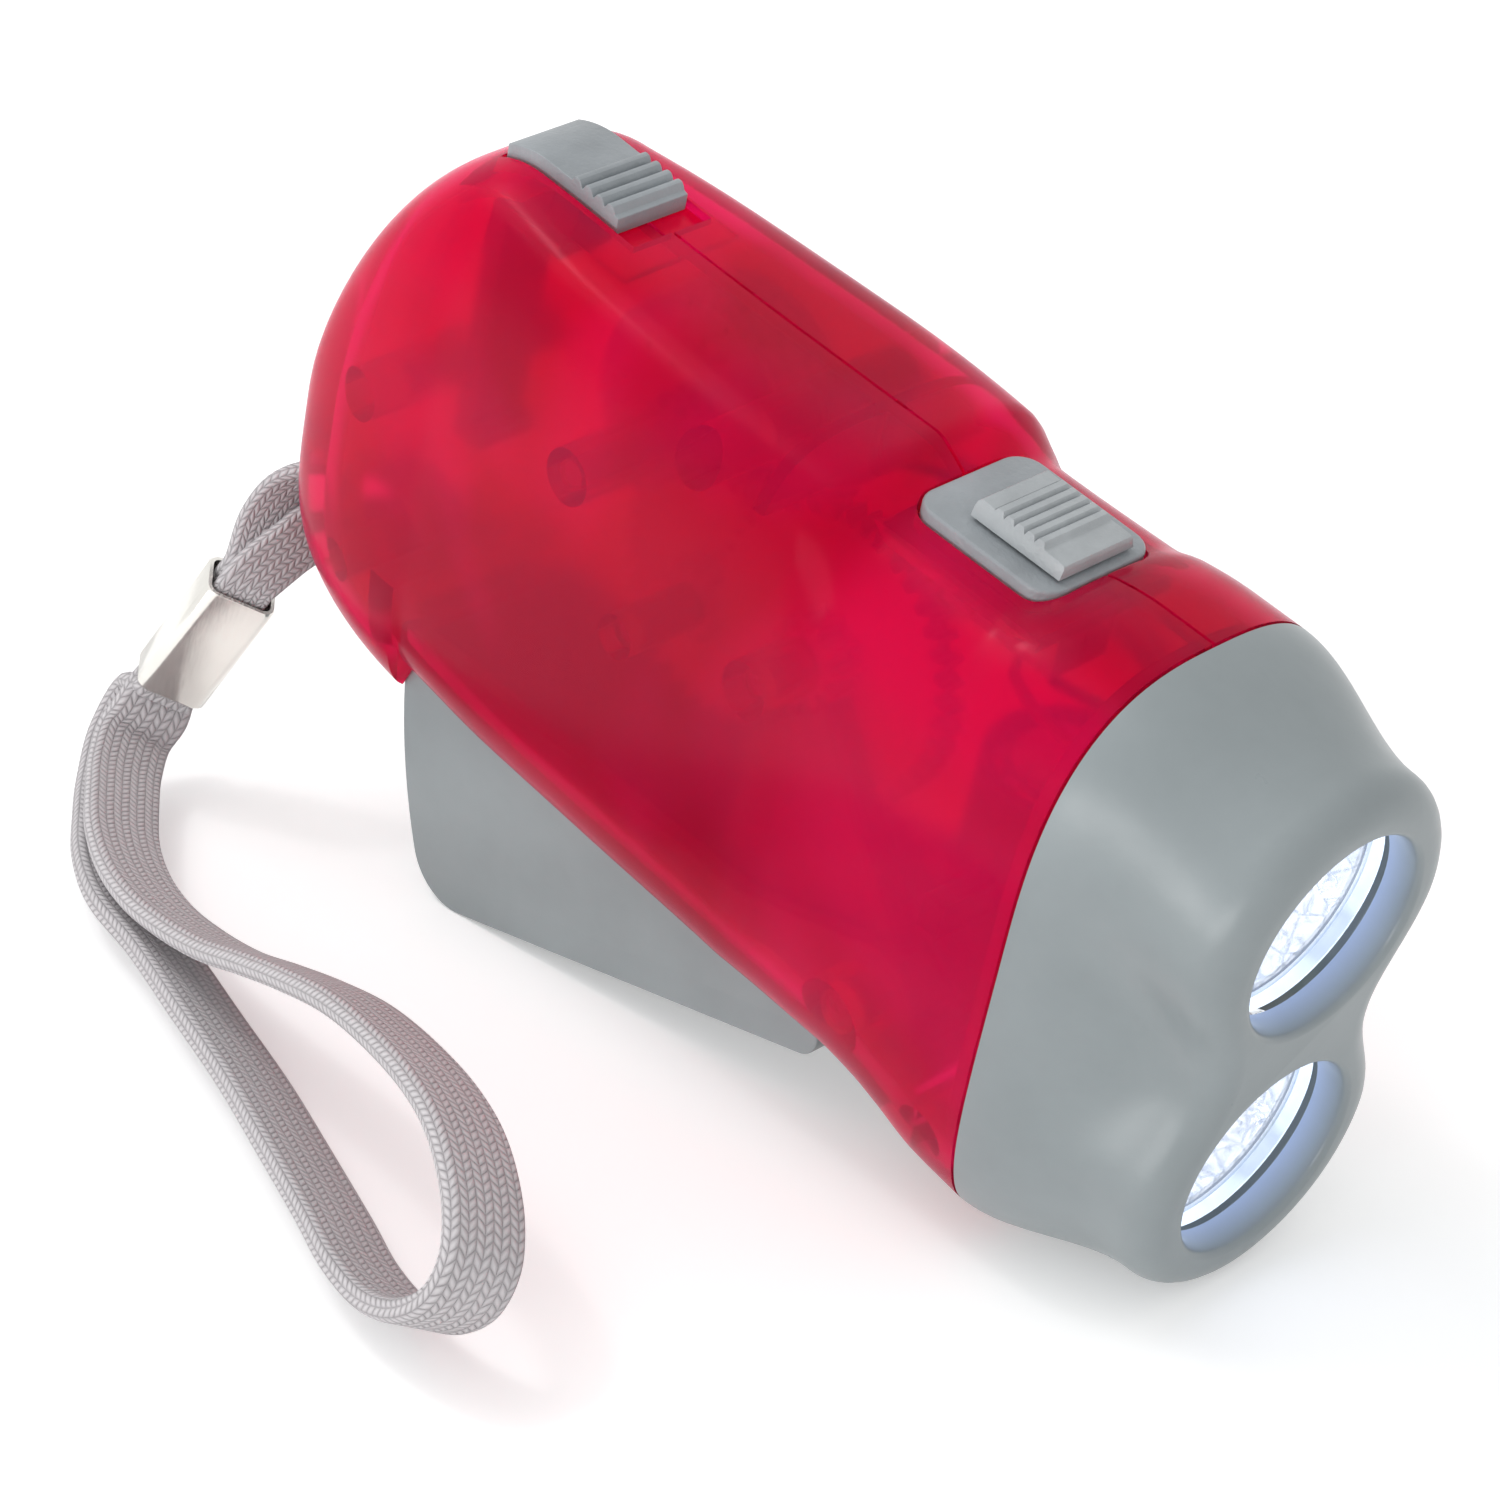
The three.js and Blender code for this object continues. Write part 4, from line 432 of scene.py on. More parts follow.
# Each material's kind and that kind's own values: a colour and a roughness, or a clear piece's alphas
LOOKS = {
    "shell_red": (red_shell,),
    "grey_plastic": (plastic, (0.288, 0.322, 0.333), 0.34),
    "slider_grey": (plastic, (0.285, 0.31, 0.33), 0.32, COARSE_GRAIN),
    # A lighter copy of the slider grey for the thumb piece: painted highlight where light falls on it
    "thumb_grey": (plastic, (0.37, 0.395, 0.41), 0.32, COARSE_GRAIN),
    "head_grey": (head_plastic,),
    "lens_clear": (clear, (0.80, 0.86, 1.0), 0.04, 0.45),
    "reflector_silver": (mirror,),
    # The rim's last value is a painted glow in place of its bright reflection
    "rim_silver": (metal, (0.74, 0.79, 0.86), 0.16, (0.62, 0.74, 0.92)),
    "lamp_clear": (clear, (0.85, 0.90, 1.0), 0.18, 0.9),
    "board_green": (plastic, (0.03, 0.13, 0.05), 0.4),
    "gear_white": (plastic, (0.78, 0.76, 0.70), 0.45),
    "plated_steel": (metal, (0.58, 0.58, 0.60), 0.3),
    "magnet_dark": (plastic, (0.03, 0.03, 0.035), 0.55),
    "winding_copper": (metal, (0.72, 0.32, 0.14), 0.3),
    "black_plastic": (plastic, (0.02, 0.02, 0.022), 0.45),
    "cell_nickel": (metal, (0.70, 0.71, 0.72), 0.25),
    "lead_red": (plastic, (0.35, 0.02, 0.02), 0.4),
    "lead_black": (plastic, (0.015, 0.015, 0.017), 0.4),
    "strap_cloth": (braid,),
    "ferrule_silver": (metal, (0.88, 0.86, 0.81), 0.2),
    "phosphor": (plastic, (0.80, 0.66, 0.16), 0.6),
}
MATERIALS = {name: make(name, *values) for name, (make, *values) in LOOKS.items()}

for part in frame["record"]["subparts"]:
    node = frame["nodes"].get(part["node"])
    if node:
        node.data.materials.clear()
        node.data.materials.append(MATERIALS[part["material_slot"]])


def finish_piece(piece, slot, replaces=(), looks=None, body="body", place=REST, degrees=35):
    """Puts a drawn piece into the row's frame, dresses it by its slot or other looks, and lets it ride."""
    merge(piece.data, SLIVER)
    piece.data.transform(place)
    shade(piece.data, degrees)
    piece.data.materials.clear()
    for name in looks or (slot,):
        piece.data.materials.append(MATERIALS[name])
    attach(piece, body)
    if replaces:
        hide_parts(*replaces)
    return piece


# Strap
# X and height of the post in the tail
POST, POST_RADIUS, TAIL_END = (-96.0, -14.6), 1.9, -103.8
NECK_WIDTH, NECK_THICKNESS = 5.0, 1.5
STRAP_WIDTH, STRAP_THICKNESS = 6.8, 1.9
STRAP_STEP = 0.55
FERRULE_TOP = Vector((-59.1, -10.7, 22))
FERRULE_BOTTOM = Vector((-66.1, -13.4, 10.9))
FERRULE_DOWN = (FERRULE_BOTTOM - FERRULE_TOP).normalized()
FERRULE_LENGTH = (FERRULE_BOTTOM - FERRULE_TOP).length
FERRULE_LIE = Vector((0.492, 0.723, -0.486))
FERRULE_ACROSS = (FERRULE_LIE - FERRULE_DOWN * FERRULE_LIE.dot(FERRULE_DOWN)).normalized()
FERRULE_OUT = FERRULE_DOWN.cross(FERRULE_ACROSS)
FERRULE_WALL = 0.45
# Distance of each strand's middle from the ferrule's middle
STRAND_SHIFT = (NECK_THICKNESS + RUNNING) / 2
LOOP_LIE = Vector((0.303, 0.838, -0.454))
# X, Y, Z and how far the band has turned from straight across to the ferrule's way, along each strand
NECK_UPPER = [(-57.5, -1.8, 31.2, 0.1), (-59.7, -4.4, 29, 0.4), (-60, -7.1, 26.6, 0.7)]
NECK_LOWER = [(-56.6, -3, 26.4, 0.3), (-56.9, -6.8, 25.3, 0.6)]
# X, Y, Z and how far the band has turned from the ferrule's way to the loop's
STRAP_LOOP = [
    (-66.8, -15, 8.3, 0), (-67.2, -16.7, 6.3, 0.1), (-64.9, -19.6, 5.4, 0.25), (-60.4, -23.5, 5.3, 0.5),
    (-55.3, -27.4, 5.3, 0.7), (-49.8, -30.4, 5.4, 1), (-44.4, -32.3, 5.6, 1), (-38.5, -33.6, 6.3, 1),
    (-32, -34.7, 7.6, 1), (-25.6, -35.7, 9.7, 1), (-18.5, -37.1, 12.1, 1), (-11, -38.7, 14.2, 1),
    (-3.4, -40.8, 15.5, 1), (3.6, -43, 16, 1), (8.4, -44.9, 15.7, 1), (12.2, -46.9, 14.6, 1),
    (15, -48.8, 12.9, 1), (16.6, -50.6, 10.7, 1), (16.1, -51.9, 7.9, 1), (13, -52.3, 5, 1),
    (8.5, -51.8, 3.2, 1), (2.7, -50.2, 2.7, 1), (-3.6, -47.6, 2.7, 1), (-12.7, -44, 2.7, 1),
    (-22, -40.4, 2.7, 1), (-32.4, -36.9, 2.7, 1), (-42.2, -33.6, 2.7, 1), (-50.2, -31.4, 2.7, 1),
    (-56, -28.4, 2.7, 0.7), (-61.2, -24.4, 2.7, 0.5), (-66, -20.2, 3, 0.25), (-69.3, -16.2, 4.9, 0.1),
    (-69, -13.5, 8.3, 0),
]


def blend(a, b, low, high, t):
    """What lies between two points whose places are low and high, at the place t."""
    return (high - t) / (high - low) * a + (t - low) / (high - low) * b


def gaps(places):
    """Distance from each place to the next."""
    return np.linalg.norm(np.diff(places, axis=0), axis=1)


def smooth_route(points, spacing, samples=24):
    """Centripetal spline through rows that start with X, Y and Z, resampled at an even spacing."""
    points = np.array(points, float)
    held = np.vstack([2 * points[0] - points[1], points, 2 * points[-1] - points[-2]])
    dense = []
    for i in range(1, len(held) - 2):
        p0, p1, p2, p3 = held[i - 1:i + 3]
        t1, t2, t3 = np.cumsum(gaps(held[i - 1:i + 3, :3]) ** 0.5)
        for t in np.linspace(t1, t2, samples, endpoint=False):
            a1, a2, a3 = blend(p0, p1, 0, t1, t), blend(p1, p2, t1, t2, t), blend(p2, p3, t2, t3, t)
            b1, b2 = blend(a1, a2, 0, t2, t), blend(a2, a3, t1, t3, t)
            dense.append(blend(b1, b2, t1, t2, t))
    dense = np.array([*dense, points[-1]])
    reach = np.concatenate([[0], np.cumsum(gaps(dense[:, :3]))])
    places = np.linspace(0, reach[-1], int(round(reach[-1] / spacing)) + 1)
    return np.stack([np.interp(places, reach, dense[:, k]) for k in range(dense.shape[1])], axis=1)


def strap_rows():
    """Rows of the strap's route: place, width direction, width and thickness."""
    rows = []
    across = Vector((0, 1, 0))
    to_row = STAND.inverted() @ REST
    reach = POST_RADIUS + RUNNING + NECK_THICKNESS / 2
    mouth = TAIL_END - POST[0] + 1.2
    runs = (-1.5, 0, FERRULE_LENGTH / 2, FERRULE_LENGTH)

    def add(place, lie, width=NECK_WIDTH, thickness=NECK_THICKNESS):
        rows.append((*place, *lie, width, thickness))

    def from_post(forward, up):
        add(to_row @ Vector((POST[0] + forward, 0, POST[1] + up)), across)

    def round_post(*turns):
        for turn in turns:
            from_post(*polar(reach, radians(turn)))

    def neck(spots):
        for x, y, z, share in spots:
            add((x, y, z), across.lerp(FERRULE_ACROSS, share))

    def in_ferrule(run, side):
        add(FERRULE_TOP + FERRULE_DOWN * run + FERRULE_OUT * STRAND_SHIFT * side, FERRULE_ACROSS)

    def below_ferrule(side):
        """Where a strand widens from the neck's size to the loop's."""
        below = FERRULE_BOTTOM + FERRULE_DOWN * 0.9
        add(below + FERRULE_OUT * STRAND_SHIFT * 1.1 * side, FERRULE_ACROSS, 5.6, 1.7)

    round_post(0, 30, 60)
    from_post(0, reach)
    from_post(mouth, reach)
    neck(NECK_UPPER)
    for run in runs:
        in_ferrule(run, -1)
    below_ferrule(-1)
    for x, y, z, share in STRAP_LOOP:
        add((x, y, z), FERRULE_ACROSS.lerp(LOOP_LIE, share), STRAP_WIDTH, STRAP_THICKNESS)
    below_ferrule(1)
    for run in reversed(runs):
        in_ferrule(run, 1)
    neck(reversed(NECK_LOWER))
    from_post(mouth, -reach)
    from_post(0, -reach)
    round_post(-60, -30, -4)
    return rows


def band_outline(width, thickness):
    """The flat band across: straight faces and round edges."""
    corner = (width / 2, thickness / 2)
    return rounded((-corner[0], -corner[1]), corner, thickness * 0.46)


def make_strap():
    """The band, with its way along and its way round as UV in metres, and its route in mm."""
    rows = smooth_route(strap_rows(), STRAP_STEP)
    places, lies, sizes = rows[:, :3], rows[:, 3:6], rows[:, 6:]
    ahead = np.gradient(places, axis=0)
    ahead /= np.linalg.norm(ahead, axis=1)[:, None]
    lies = lies - (lies * ahead).sum(1)[:, None] * ahead
    lies /= np.linalg.norm(lies, axis=1)[:, None]
    ups = np.cross(ahead, lies)
    piece = lofted("strap_band", [[place + lie * a + up * b for a, b in band_outline(*size)]
                                  for place, lie, up, size in zip(places, lies, ups, sizes)])
    runs = np.concatenate([[0], np.cumsum(gaps(places))])
    wide = band_outline(STRAP_WIDTH, STRAP_THICKNESS)
    rounds = [0.0]
    for a, b in zip(wide, wide[1:] + wide[:1]):
        rounds.append(rounds[-1] + dist(a, b))
    count = len(wide)
    layer = piece.data.uv_layers.new(name="braid")
    for face in piece.data.polygons:
        if len(face.vertices) != 4:
            continue
        closes = any(v % count == count - 1 for v in face.vertices)
        for corner, vertex in zip(face.loop_indices, face.vertices):
            i, j = divmod(vertex, count)
            layer.data[corner].uv = (runs[i] * MM, rounds[count if closes and j == 0 else j] * MM)
    finish_piece(piece, "strap_cloth", ("strap_neck", "wrist_strap"), place=STAND, degrees=60)
    return piece, places


def make_ferrule():
    """The metal sleeve round both strands. Its ends turn in a little."""
    half_width, half_depth = NECK_WIDTH / 2 + RUNNING, NECK_THICKNESS + 1.5 * RUNNING
    # Place along the sleeve, swell over its bore and corner radius
    profile = [(0, FERRULE_WALL - 0.12, 1.1), (0.25, FERRULE_WALL, 1.1),
               (FERRULE_LENGTH - 0.25, FERRULE_WALL, 1.1), (FERRULE_LENGTH, FERRULE_WALL - 0.12, 1.1),
               (FERRULE_LENGTH, 0, 0.75), (0, 0, 0.75)]
    points = []
    for reach, swell, radius in profile:
        corner = (half_width + swell, half_depth + swell)
        outline = rounded((-corner[0], -corner[1]), corner, radius)
        middle = FERRULE_TOP + FERRULE_DOWN * reach
        points += [middle + FERRULE_ACROSS * a + FERRULE_OUT * b for a, b in outline]
    count = len(outline)
    faces = strips([*range(0, len(points), count), 0], count)
    piece = facing_out(mesh_object("ferrule_sleeve", points, faces))
    return finish_piece(piece, "ferrule_silver", ("strap_ferrule",), place=STAND, degrees=40)


strap, strap_route = make_strap()
ferrule = make_ferrule()

# Body form
SEAM_X, GRIP_REAR = -17.0, -86.0
GRIP_HALF, TAIL_DEPTH, TAIL_TOP, TAIL_MIDDLE, HEEL_BOTTOM, BELLY = 15.9 * 0.78, 17.8, 27.8, -6.5, 22.9, 5.0
# X, half width, top, bottom, belly height, power above and power below
BODY_ROWS = [
    (-17.0, 15.9, 26.4, -24.2, 5, 2.8, 5), (-21.95, 15.9, 26.4, -23.36, 5, 2.8, 5.2),
    (-26.46, 15.741, 25.91, -21.596, 5, 2.85, 5.6), (-29.4, 15.582, 25.0, -20.588, 5, 2.9, 6),
    (-33.6, 15.3435, 25.0, -20.0, 5, 2.9, 6.4), (-41.44, 14.787, 25.0, -20.0, 5, 3, 7.2),
    (-43.75, 14.628, 26.2, -20.0, 5, 3.4, 7.6), (-45.5, 14.469, 27.0, -20.0, 5, 3.8, 8),
    (-59.675, 13.833, 27.0, -20.0, 5, 4.7, 8), (-73.85, 13.1175, 27.2, -20.0, 5, 4.4, 8),
    (-81.95, 12.6405, 27.64, -20.0, 5, 3.7, 7), (-86.0, 12.402, 27.8, -20.29, 5, 3.3, 6),
]


def monotone(xs, ys):
    """A smooth curve through points that never overshoots them."""
    xs, ys = np.array(xs, float), np.array(ys, float)
    steps = np.diff(xs)
    rises = np.diff(ys) / steps
    slopes = np.zeros(len(xs))
    slopes[0], slopes[-1] = rises[0], rises[-1]
    for i in range(1, len(xs) - 1):
        if rises[i - 1] * rises[i] > 0:
            w1, w2 = 2 * steps[i] + steps[i - 1], steps[i] + 2 * steps[i - 1]
            slopes[i] = (w1 + w2) / (w1 / rises[i - 1] + w2 / rises[i])

    def at(x):
        i = int(np.clip(np.searchsorted(xs, x) - 1, 0, len(xs) - 2))
        h = steps[i]
        t = (x - xs[i]) / h
        return float((2 * t ** 3 - 3 * t ** 2 + 1) * ys[i] + (t ** 3 - 2 * t ** 2 + t) * h * slopes[i]
                     + (-2 * t ** 3 + 3 * t ** 2) * ys[i + 1] + (t ** 3 - t ** 2) * h * slopes[i + 1])

    return at


ROW_XS, *ROW_COLUMNS = zip(*reversed(BODY_ROWS))
ROW_CURVES = [monotone(ROW_XS, column) for column in ROW_COLUMNS]


def tail_row(turn):
    """The section at a turn round the tail, from the grip at 0 to the very end at a right angle."""
    back, left = sin(turn), max(cos(turn), 1e-4)
    return (GRIP_REAR - TAIL_DEPTH * back, GRIP_HALF * left ** 0.25,
            TAIL_MIDDLE + (TAIL_TOP - TAIL_MIDDLE) * left,
            TAIL_MIDDLE - (HEEL_BOTTOM + TAIL_MIDDLE) * left ** 0.5,
            TAIL_MIDDLE + (BELLY - TAIL_MIDDLE) * left, 3.3 - 0.3 * back, 6 - 2 * back)


def row_at(x):
    """The body's section at any X: its numbers as in BODY_ROWS."""
    if x < GRIP_REAR:
        return tail_row(asin(min((GRIP_REAR - x) / TAIL_DEPTH, 1)))
    return (x, *[curve(x) for curve in ROW_CURVES])


def section(row, inset, x=None, count=128):
    """A ring of the body's section, drawn in by an inset, at its own X or at another."""
    place, half, top, bottom, belly, above, below = row
    ring = []
    for j in range(count):
        turn = tau * (j + 0.5) / count
        side, rise = sin(turn), cos(turn)
        power = 2 / (above if rise > 0 else below)
        height = (top - inset - belly) if rise > 0 else (belly - bottom - inset)
        ring.append((place if x is None else x,
                     (half - inset) * copysign(abs(side) ** power, side),
                     belly + height * copysign(abs(rise) ** power, rise)))
    return ring


def body_form(name, inset=0, front_run=0):
    """The whole body, drawn in by an inset, and run on past the seam with the head."""
    rows = [row_at(x) for x in np.linspace(SEAM_X, GRIP_REAR, 88)]
    rows += [tail_row(radians(turn)) for turn in np.linspace(3, 87, 29)]
    rings = [section(rows[0], inset, SEAM_X + front_run)] if front_run else []
    for row in rows:
        x = row[0]
        if inset:
            x = max(x, TAIL_END + inset * 2 + (x - TAIL_END) * 0.6)
        rings.append(section(row, inset, x))
    return lofted(name, rings)


def side_reach(x, z):
    """Half width of the body at one X and one height."""
    _, half, top, bottom, belly, above, below = row_at(x)
    power = above if z > belly else below
    share = min(abs(z - belly) / (top - belly if z > belly else belly - bottom), 1)
    return half * (1 - share ** power) ** (1 / power)


def top_line(rear, front, drop, shift, steps=16):
    """Points along the body's top, lowered by a drop. The top is read as much further back as the shift."""
    xs = [rear + (front - rear) * i / steps for i in range(steps + 1)]
    return [(x, row_at(x - shift)[2] - drop) for x in xs]


# Shells
WALL = 1.8
SEAM_GAP = 0.15
# X and height of the lever's pin and of the gears' axles
PIVOT = (-32.5, -15.0)
FIRST, SECOND, ROTOR = (-47.84, 6.12), (-62.06, 1.33), (-70.35, 11.21)
# Radius of a screw's boss, hole and head, how deep it sits, its head's height and its length
SCREW_BOSS, SCREW_HOLE, SCREW_HEAD, SCREW_SINK, HEAD_HEIGHT, SCREW_LENGTH = 2.3, 1.25, 2.1, 1.6, 1.7, 16.3
# X, height and half width there, less the screw's sink
SCREWS = [(x, z, side_reach(x, z) - SCREW_SINK) for x, z in ((-95.6, 2.7), (-58.0, 20.6), (-21.9, -18.6))]
LEVER_HALF = 9.0
LEVER_SLOT_REAR, LEVER_SLOT_FRONT = -88.0, -23.8
LOCK_FRONT, LOCK_REAR, LOCK_HALF, LOCK_TRAVEL = -77.5, -90.3, 3.7, 2.2
# Lower end of what moves with the lock's cap, its play at the sides, and its channel's depth
LOCK_SOLE, LOCK_PLAY, LOCK_DROP = 20.2, 0.4, 1.0
PLATE_FRONT, PLATE_REAR, PLATE_HALF, PLATE_CORNER = -27.85, -42.0, 6.0, 2.2
PLATE_SOLE, PLATE_TOP = 21.6, 25.5
FLANGE, FLANGE_TOP = 1.2, 22.9
# Rear, front and half width of each slider's stem, and how far the thumb piece goes back
LOCK_STEM, THUMB_STEM, THUMB_TRAVEL = (-86.5, -83.5, 1.6), (-34.55, -31.95, 1.1), 4.0
# Place, radius and distance of its end from the seam, for each boss of the left and of the right shell
COMMON_BOSSES = [(PIVOT, 3.2, 9.4), (POST, POST_RADIUS, SEAM_GAP)]
BOSSES = {1: COMMON_BOSSES + [(FIRST, 2.4, -1.1), (SECOND, 1.9, 1.4), (ROTOR, 4.8, 8.9)],
          -1: COMMON_BOSSES + [(FIRST, 2.4, 6.9), (SECOND, 1.9, 4.1), (ROTOR, 2.4, -0.4)]}
# Place, radius and depth from the seam of each pin's and axle's hole
HOLES = [(PIVOT, 1.8, 11.2), (FIRST, 1.3, 10.6), (SECOND, 1.3, 10.2), (ROTOR, 1.3, 10.8)]


def on_side(side, near, far):
    """The range of Y between two distances from the seam: side is 1 on the left and -1 on the right."""
    return (near, far) if side > 0 else (-far, -near)


def plate_outline(margin=0.0):
    """The switch plate from above, with a margin round it."""
    half = PLATE_HALF + margin
    return rounded((PLATE_REAR - margin, -half), (PLATE_FRONT + margin, half), PLATE_CORNER + margin, 8, -1)


def plate_box(name, margin, low, high):
    half = PLATE_HALF + margin
    return box(name, (PLATE_REAR - margin, -half, low), (PLATE_FRONT + margin, half, high))


def stem_box(name, stem, low, high, play=0.0, back=0.0, ahead=0.0):
    """A slider's stem, or with play and travel the slot in which it runs."""
    rear, front, half = stem
    return box(name, (rear - play - back, -half - play, low), (front + play + ahead, half + play, high))


def lock_room(name, margin, drop, half):
    """What the lock slider's cap sweeps along the top, with a margin at both ends."""
    rear, front = LOCK_REAR - margin, LOCK_FRONT + LOCK_TRAVEL + margin
    outline = top_line(rear, front, drop, LOCK_TRAVEL) + [(front, PAST_CUT), (rear, PAST_CUT)]
    return prism(name, outline, -half, half)


def shell_insides(side):
    """Bosses, ribs and pads inside one shell."""
    bosses = BOSSES[side] + [((x, z), SCREW_BOSS, SEAM_GAP) for x, z, _ in SCREWS]
    parts = [bar("boss", place, radius, *on_side(side, reach, PAST)) for place, radius, reach in bosses]
    stop_rear, stop_top = LEVER_SLOT_REAR - 3, -11.87
    rib_rear, rib_front, rib_low = -51.7, -50.5, 20.2
    pad_half = 5.9
    parts.append(box("stop", (stop_rear, -PAST, -PAST), (LEVER_SLOT_REAR, PAST, stop_top)))
    parts.append(box("rib", (rib_rear, -PAST, rib_low), (rib_front, PAST, PAST)))
    parts.append(lock_room("pad", WALL, LOCK_DROP + WALL * 0.8, pad_half))
    return parts


def shell_cuts(side):
    half = LEVER_HALF + RUNNING
    cuts = [box("lever_slot", (LEVER_SLOT_REAR, -half, -PAST_CUT), (LEVER_SLOT_FRONT, half, PIVOT[1])),
            lock_room("channel", RUNNING, LOCK_DROP, LOCK_HALF + LOCK_PLAY),
            stem_box("lock_slot", LOCK_STEM, LOCK_SOLE, PAST_CUT, LOCK_PLAY, ahead=LOCK_TRAVEL),
            prism("window", plate_outline(RUNNING), PLATE_SOLE, PAST_CUT, "Z"),
            plate_box("rebate", FLANGE + 2 * RUNNING, PLATE_SOLE - RUNNING, FLANGE_TOP + RUNNING)]
    rear, room, half = -108, 4.3, 3.7
    slot = box("strap_slot", (rear, -half, POST[1] - room), (POST[0] + room, half, POST[1] + room))
    cuts.append(cut(slot, bar("post", POST, POST_RADIUS)))
    cuts += [bar("hole", place, radius, *on_side(side, 0, depth)) for place, radius, depth in HOLES]
    for x, z, top in SCREWS:
        if side < 0:
            cuts.append(bar("thread", (x, z), SCREW_HOLE, top - SCREW_LENGTH, 0))
        else:
            cuts.append(bar("shank", (x, z), SCREW_HOLE, 0, PAST))
            cuts.append(bar("sink", (x, z), SCREW_HEAD, top - HEAD_HEIGHT, PAST))
    return cuts


def make_shells():
    for name, side in (("right_shell", -1), ("left_shell", 1)):
        insides = meet(join(*shell_insides(side)), body_form("middle", WALL / 2))
        skin = cut(body_form(name + "_skin"), body_form("inner", WALL, 4))
        join(skin, insides)
        low, high = on_side(side, SEAM_GAP, PAST_ALL)
        meet(skin, box("side", (-PAST_ALL, low, -PAST_ALL), (PAST_ALL, high, PAST_ALL)))
        cut(skin, *shell_cuts(side))
        finish_piece(skin, "shell_red", (name,), degrees=28)


make_shells()

# Head
# Height of a lamp over the middle, radius of the head's ends, half width between them, radius of its edge
LAMP, RIM_RADIUS, WAIST, ROUNDING = 11.0, 12.8, 9.4, 3.0
HEAD_REAR, HEAD_WALL, COLLAR_INSET = SEAM_X + 0.3, 3.4, 2.1
WELL_REAR, WELL_RADIUS, WELL_EDGE = -7.7, 8.7, 0.55
SEAT_REAR, SEAT_FRONT, SEAT_RADIUS = -13.2, -3.4, 9.6


def figure_eight(height):
    """Half width of the head's front outline at a height."""
    reach = min(abs(height), LAMP + RIM_RADIUS)
    if reach > LAMP:
        return sqrt(max(RIM_RADIUS ** 2 - (reach - LAMP) ** 2, 0))
    return WAIST + (RIM_RADIUS - WAIST) * (1 - cos(pi * reach / LAMP)) / 2


def eight_point(turn, inset):
    """A point of the figure eight. The inset shrinks the circles and moves the waist in."""
    height = (LAMP + RIM_RADIUS) * cos(turn)
    side = copysign(1, sin(turn))
    past = abs(height) - LAMP
    if past < 0:
        return side * (figure_eight(height) - inset), height
    shrink = 1 - inset / RIM_RADIUS
    return side * figure_eight(height) * shrink, copysign(LAMP + past * shrink, height)


def head_ring(x, share, inset, count=192):
    """A ring of the head: the body's section at 0 and the figure eight at 1."""
    ring = []
    for j, (_, y, z) in enumerate(section(row_at(SEAM_X), inset, count=count)):
        across, up = eight_point(tau * (j + 0.5) / count, inset)
        ring.append((x, y + (across - y) * share, z + (up - z) * share))
    return ring


def head_form(name, inset, front, steps=26):
    """The head from the seam to its front edge, and round that edge if its front is wanted."""
    rings = []
    for i in range(steps + 1):
        share = i / steps
        x = HEAD_REAR + (-ROUNDING - HEAD_REAR) * share
        rings.append(head_ring(x, share * share * (3 - 2 * share), inset))
    for turn in map(radians, (12, 24, 36, 48, 60, 72, 82, 90) if front else ()):
        x = -ROUNDING + ROUNDING * sin(turn)
        rings.append(head_ring(x, 1, inset + ROUNDING * (1 - cos(turn))))
    return lofted(name, rings)


def sleeve(name, inset, rear_run):
    """What reaches back from the head into the body, run on further to the rear."""
    rear, seam = row_at(SEAM_X - 2.2), row_at(SEAM_X)
    return lofted(name, [section(rear, inset, rear[0] - rear_run), section(rear, inset),
                         section(seam, inset), section(seam, inset, HEAD_REAR + 0.3)])


def make_head():
    bezel = head_form("head_shell", 0, True)
    tools = [head_form("hollow", HEAD_WALL, False), sleeve("throat", HEAD_WALL, 4)]
    well = [(WELL_REAR, 0), (WELL_REAR, WELL_RADIUS), (-WELL_EDGE, WELL_RADIUS)]
    for turn in map(radians, (20, 40, 60, 80, 90)):
        forward, out = sin(turn) - 1, 1 - cos(turn)
        well.append((WELL_EDGE * forward, WELL_RADIUS + WELL_EDGE * out))
    well += [(4, WELL_RADIUS + WELL_EDGE), (4, 0)]
    seat = [(SEAT_REAR, 0), (SEAT_REAR, SEAT_RADIUS), (SEAT_FRONT, SEAT_RADIUS), (SEAT_FRONT, 0)]
    for z in (-LAMP, LAMP):
        tools += [turned("well", well, z), turned("seat", seat, z)]
    cut(bezel, *tools)
    join(bezel, cut(sleeve("collar", COLLAR_INSET, 0), sleeve("collar_bore", HEAD_WALL, 4)))
    finish_piece(bezel, "grey_plastic", ("head_bezel",), ("head_grey",), place=Matrix(), degrees=30)
    # How far into a well the head turns to the lightened blue, whose lightness is painted light
    blue_front, blue_run = -0.5, 2.9
    depths = bezel.data.attributes.new("well", "FLOAT", "POINT")
    for vertex, depth in zip(bezel.data.vertices, depths.data):
        x, y, z = vertex.co
        if hypot(y, abs(z) - LAMP) < WELL_RADIUS + 0.05:
            depth.value = min(max((blue_front - x) / blue_run, 0), 1)
    bezel.data.transform(REST)


make_head()

# Lamps
# X and radius along each turned piece
LENS = [(-5.2, 0), (-5.2, 9.0), (-5.0, 9.25), (-3.95, 9.25), (-3.75, 9.05), (-3.7, 8.6), (-3.7, 0)]
LENS_RIM = 9.1
DOME_RADIUS, DOME_X = 2.5, -9.2
DOME = [(-14.7, 0), (-14.7, 2.9), (-13.8, 2.9), (-13.75, DOME_RADIUS)]
DOME += [(DOME_X + DOME_RADIUS * sin(turn), DOME_RADIUS * cos(turn))
         for turn in map(radians, range(0, 90, 9))]
DOME.append((DOME_X + DOME_RADIUS, 0))
CUP = [(-13.9, 0), (-13.9, 0.75), (-11.2, 0.75), (-10.5, 1.25), (-10.5, 1.05), (-11.1, 0.55), (-11.1, 0)]
CHIP = [(-11.05, 0), (-11.05, 0.5), (-10.75, 0.62), (-10.6, 0.3), (-10.58, 0)]


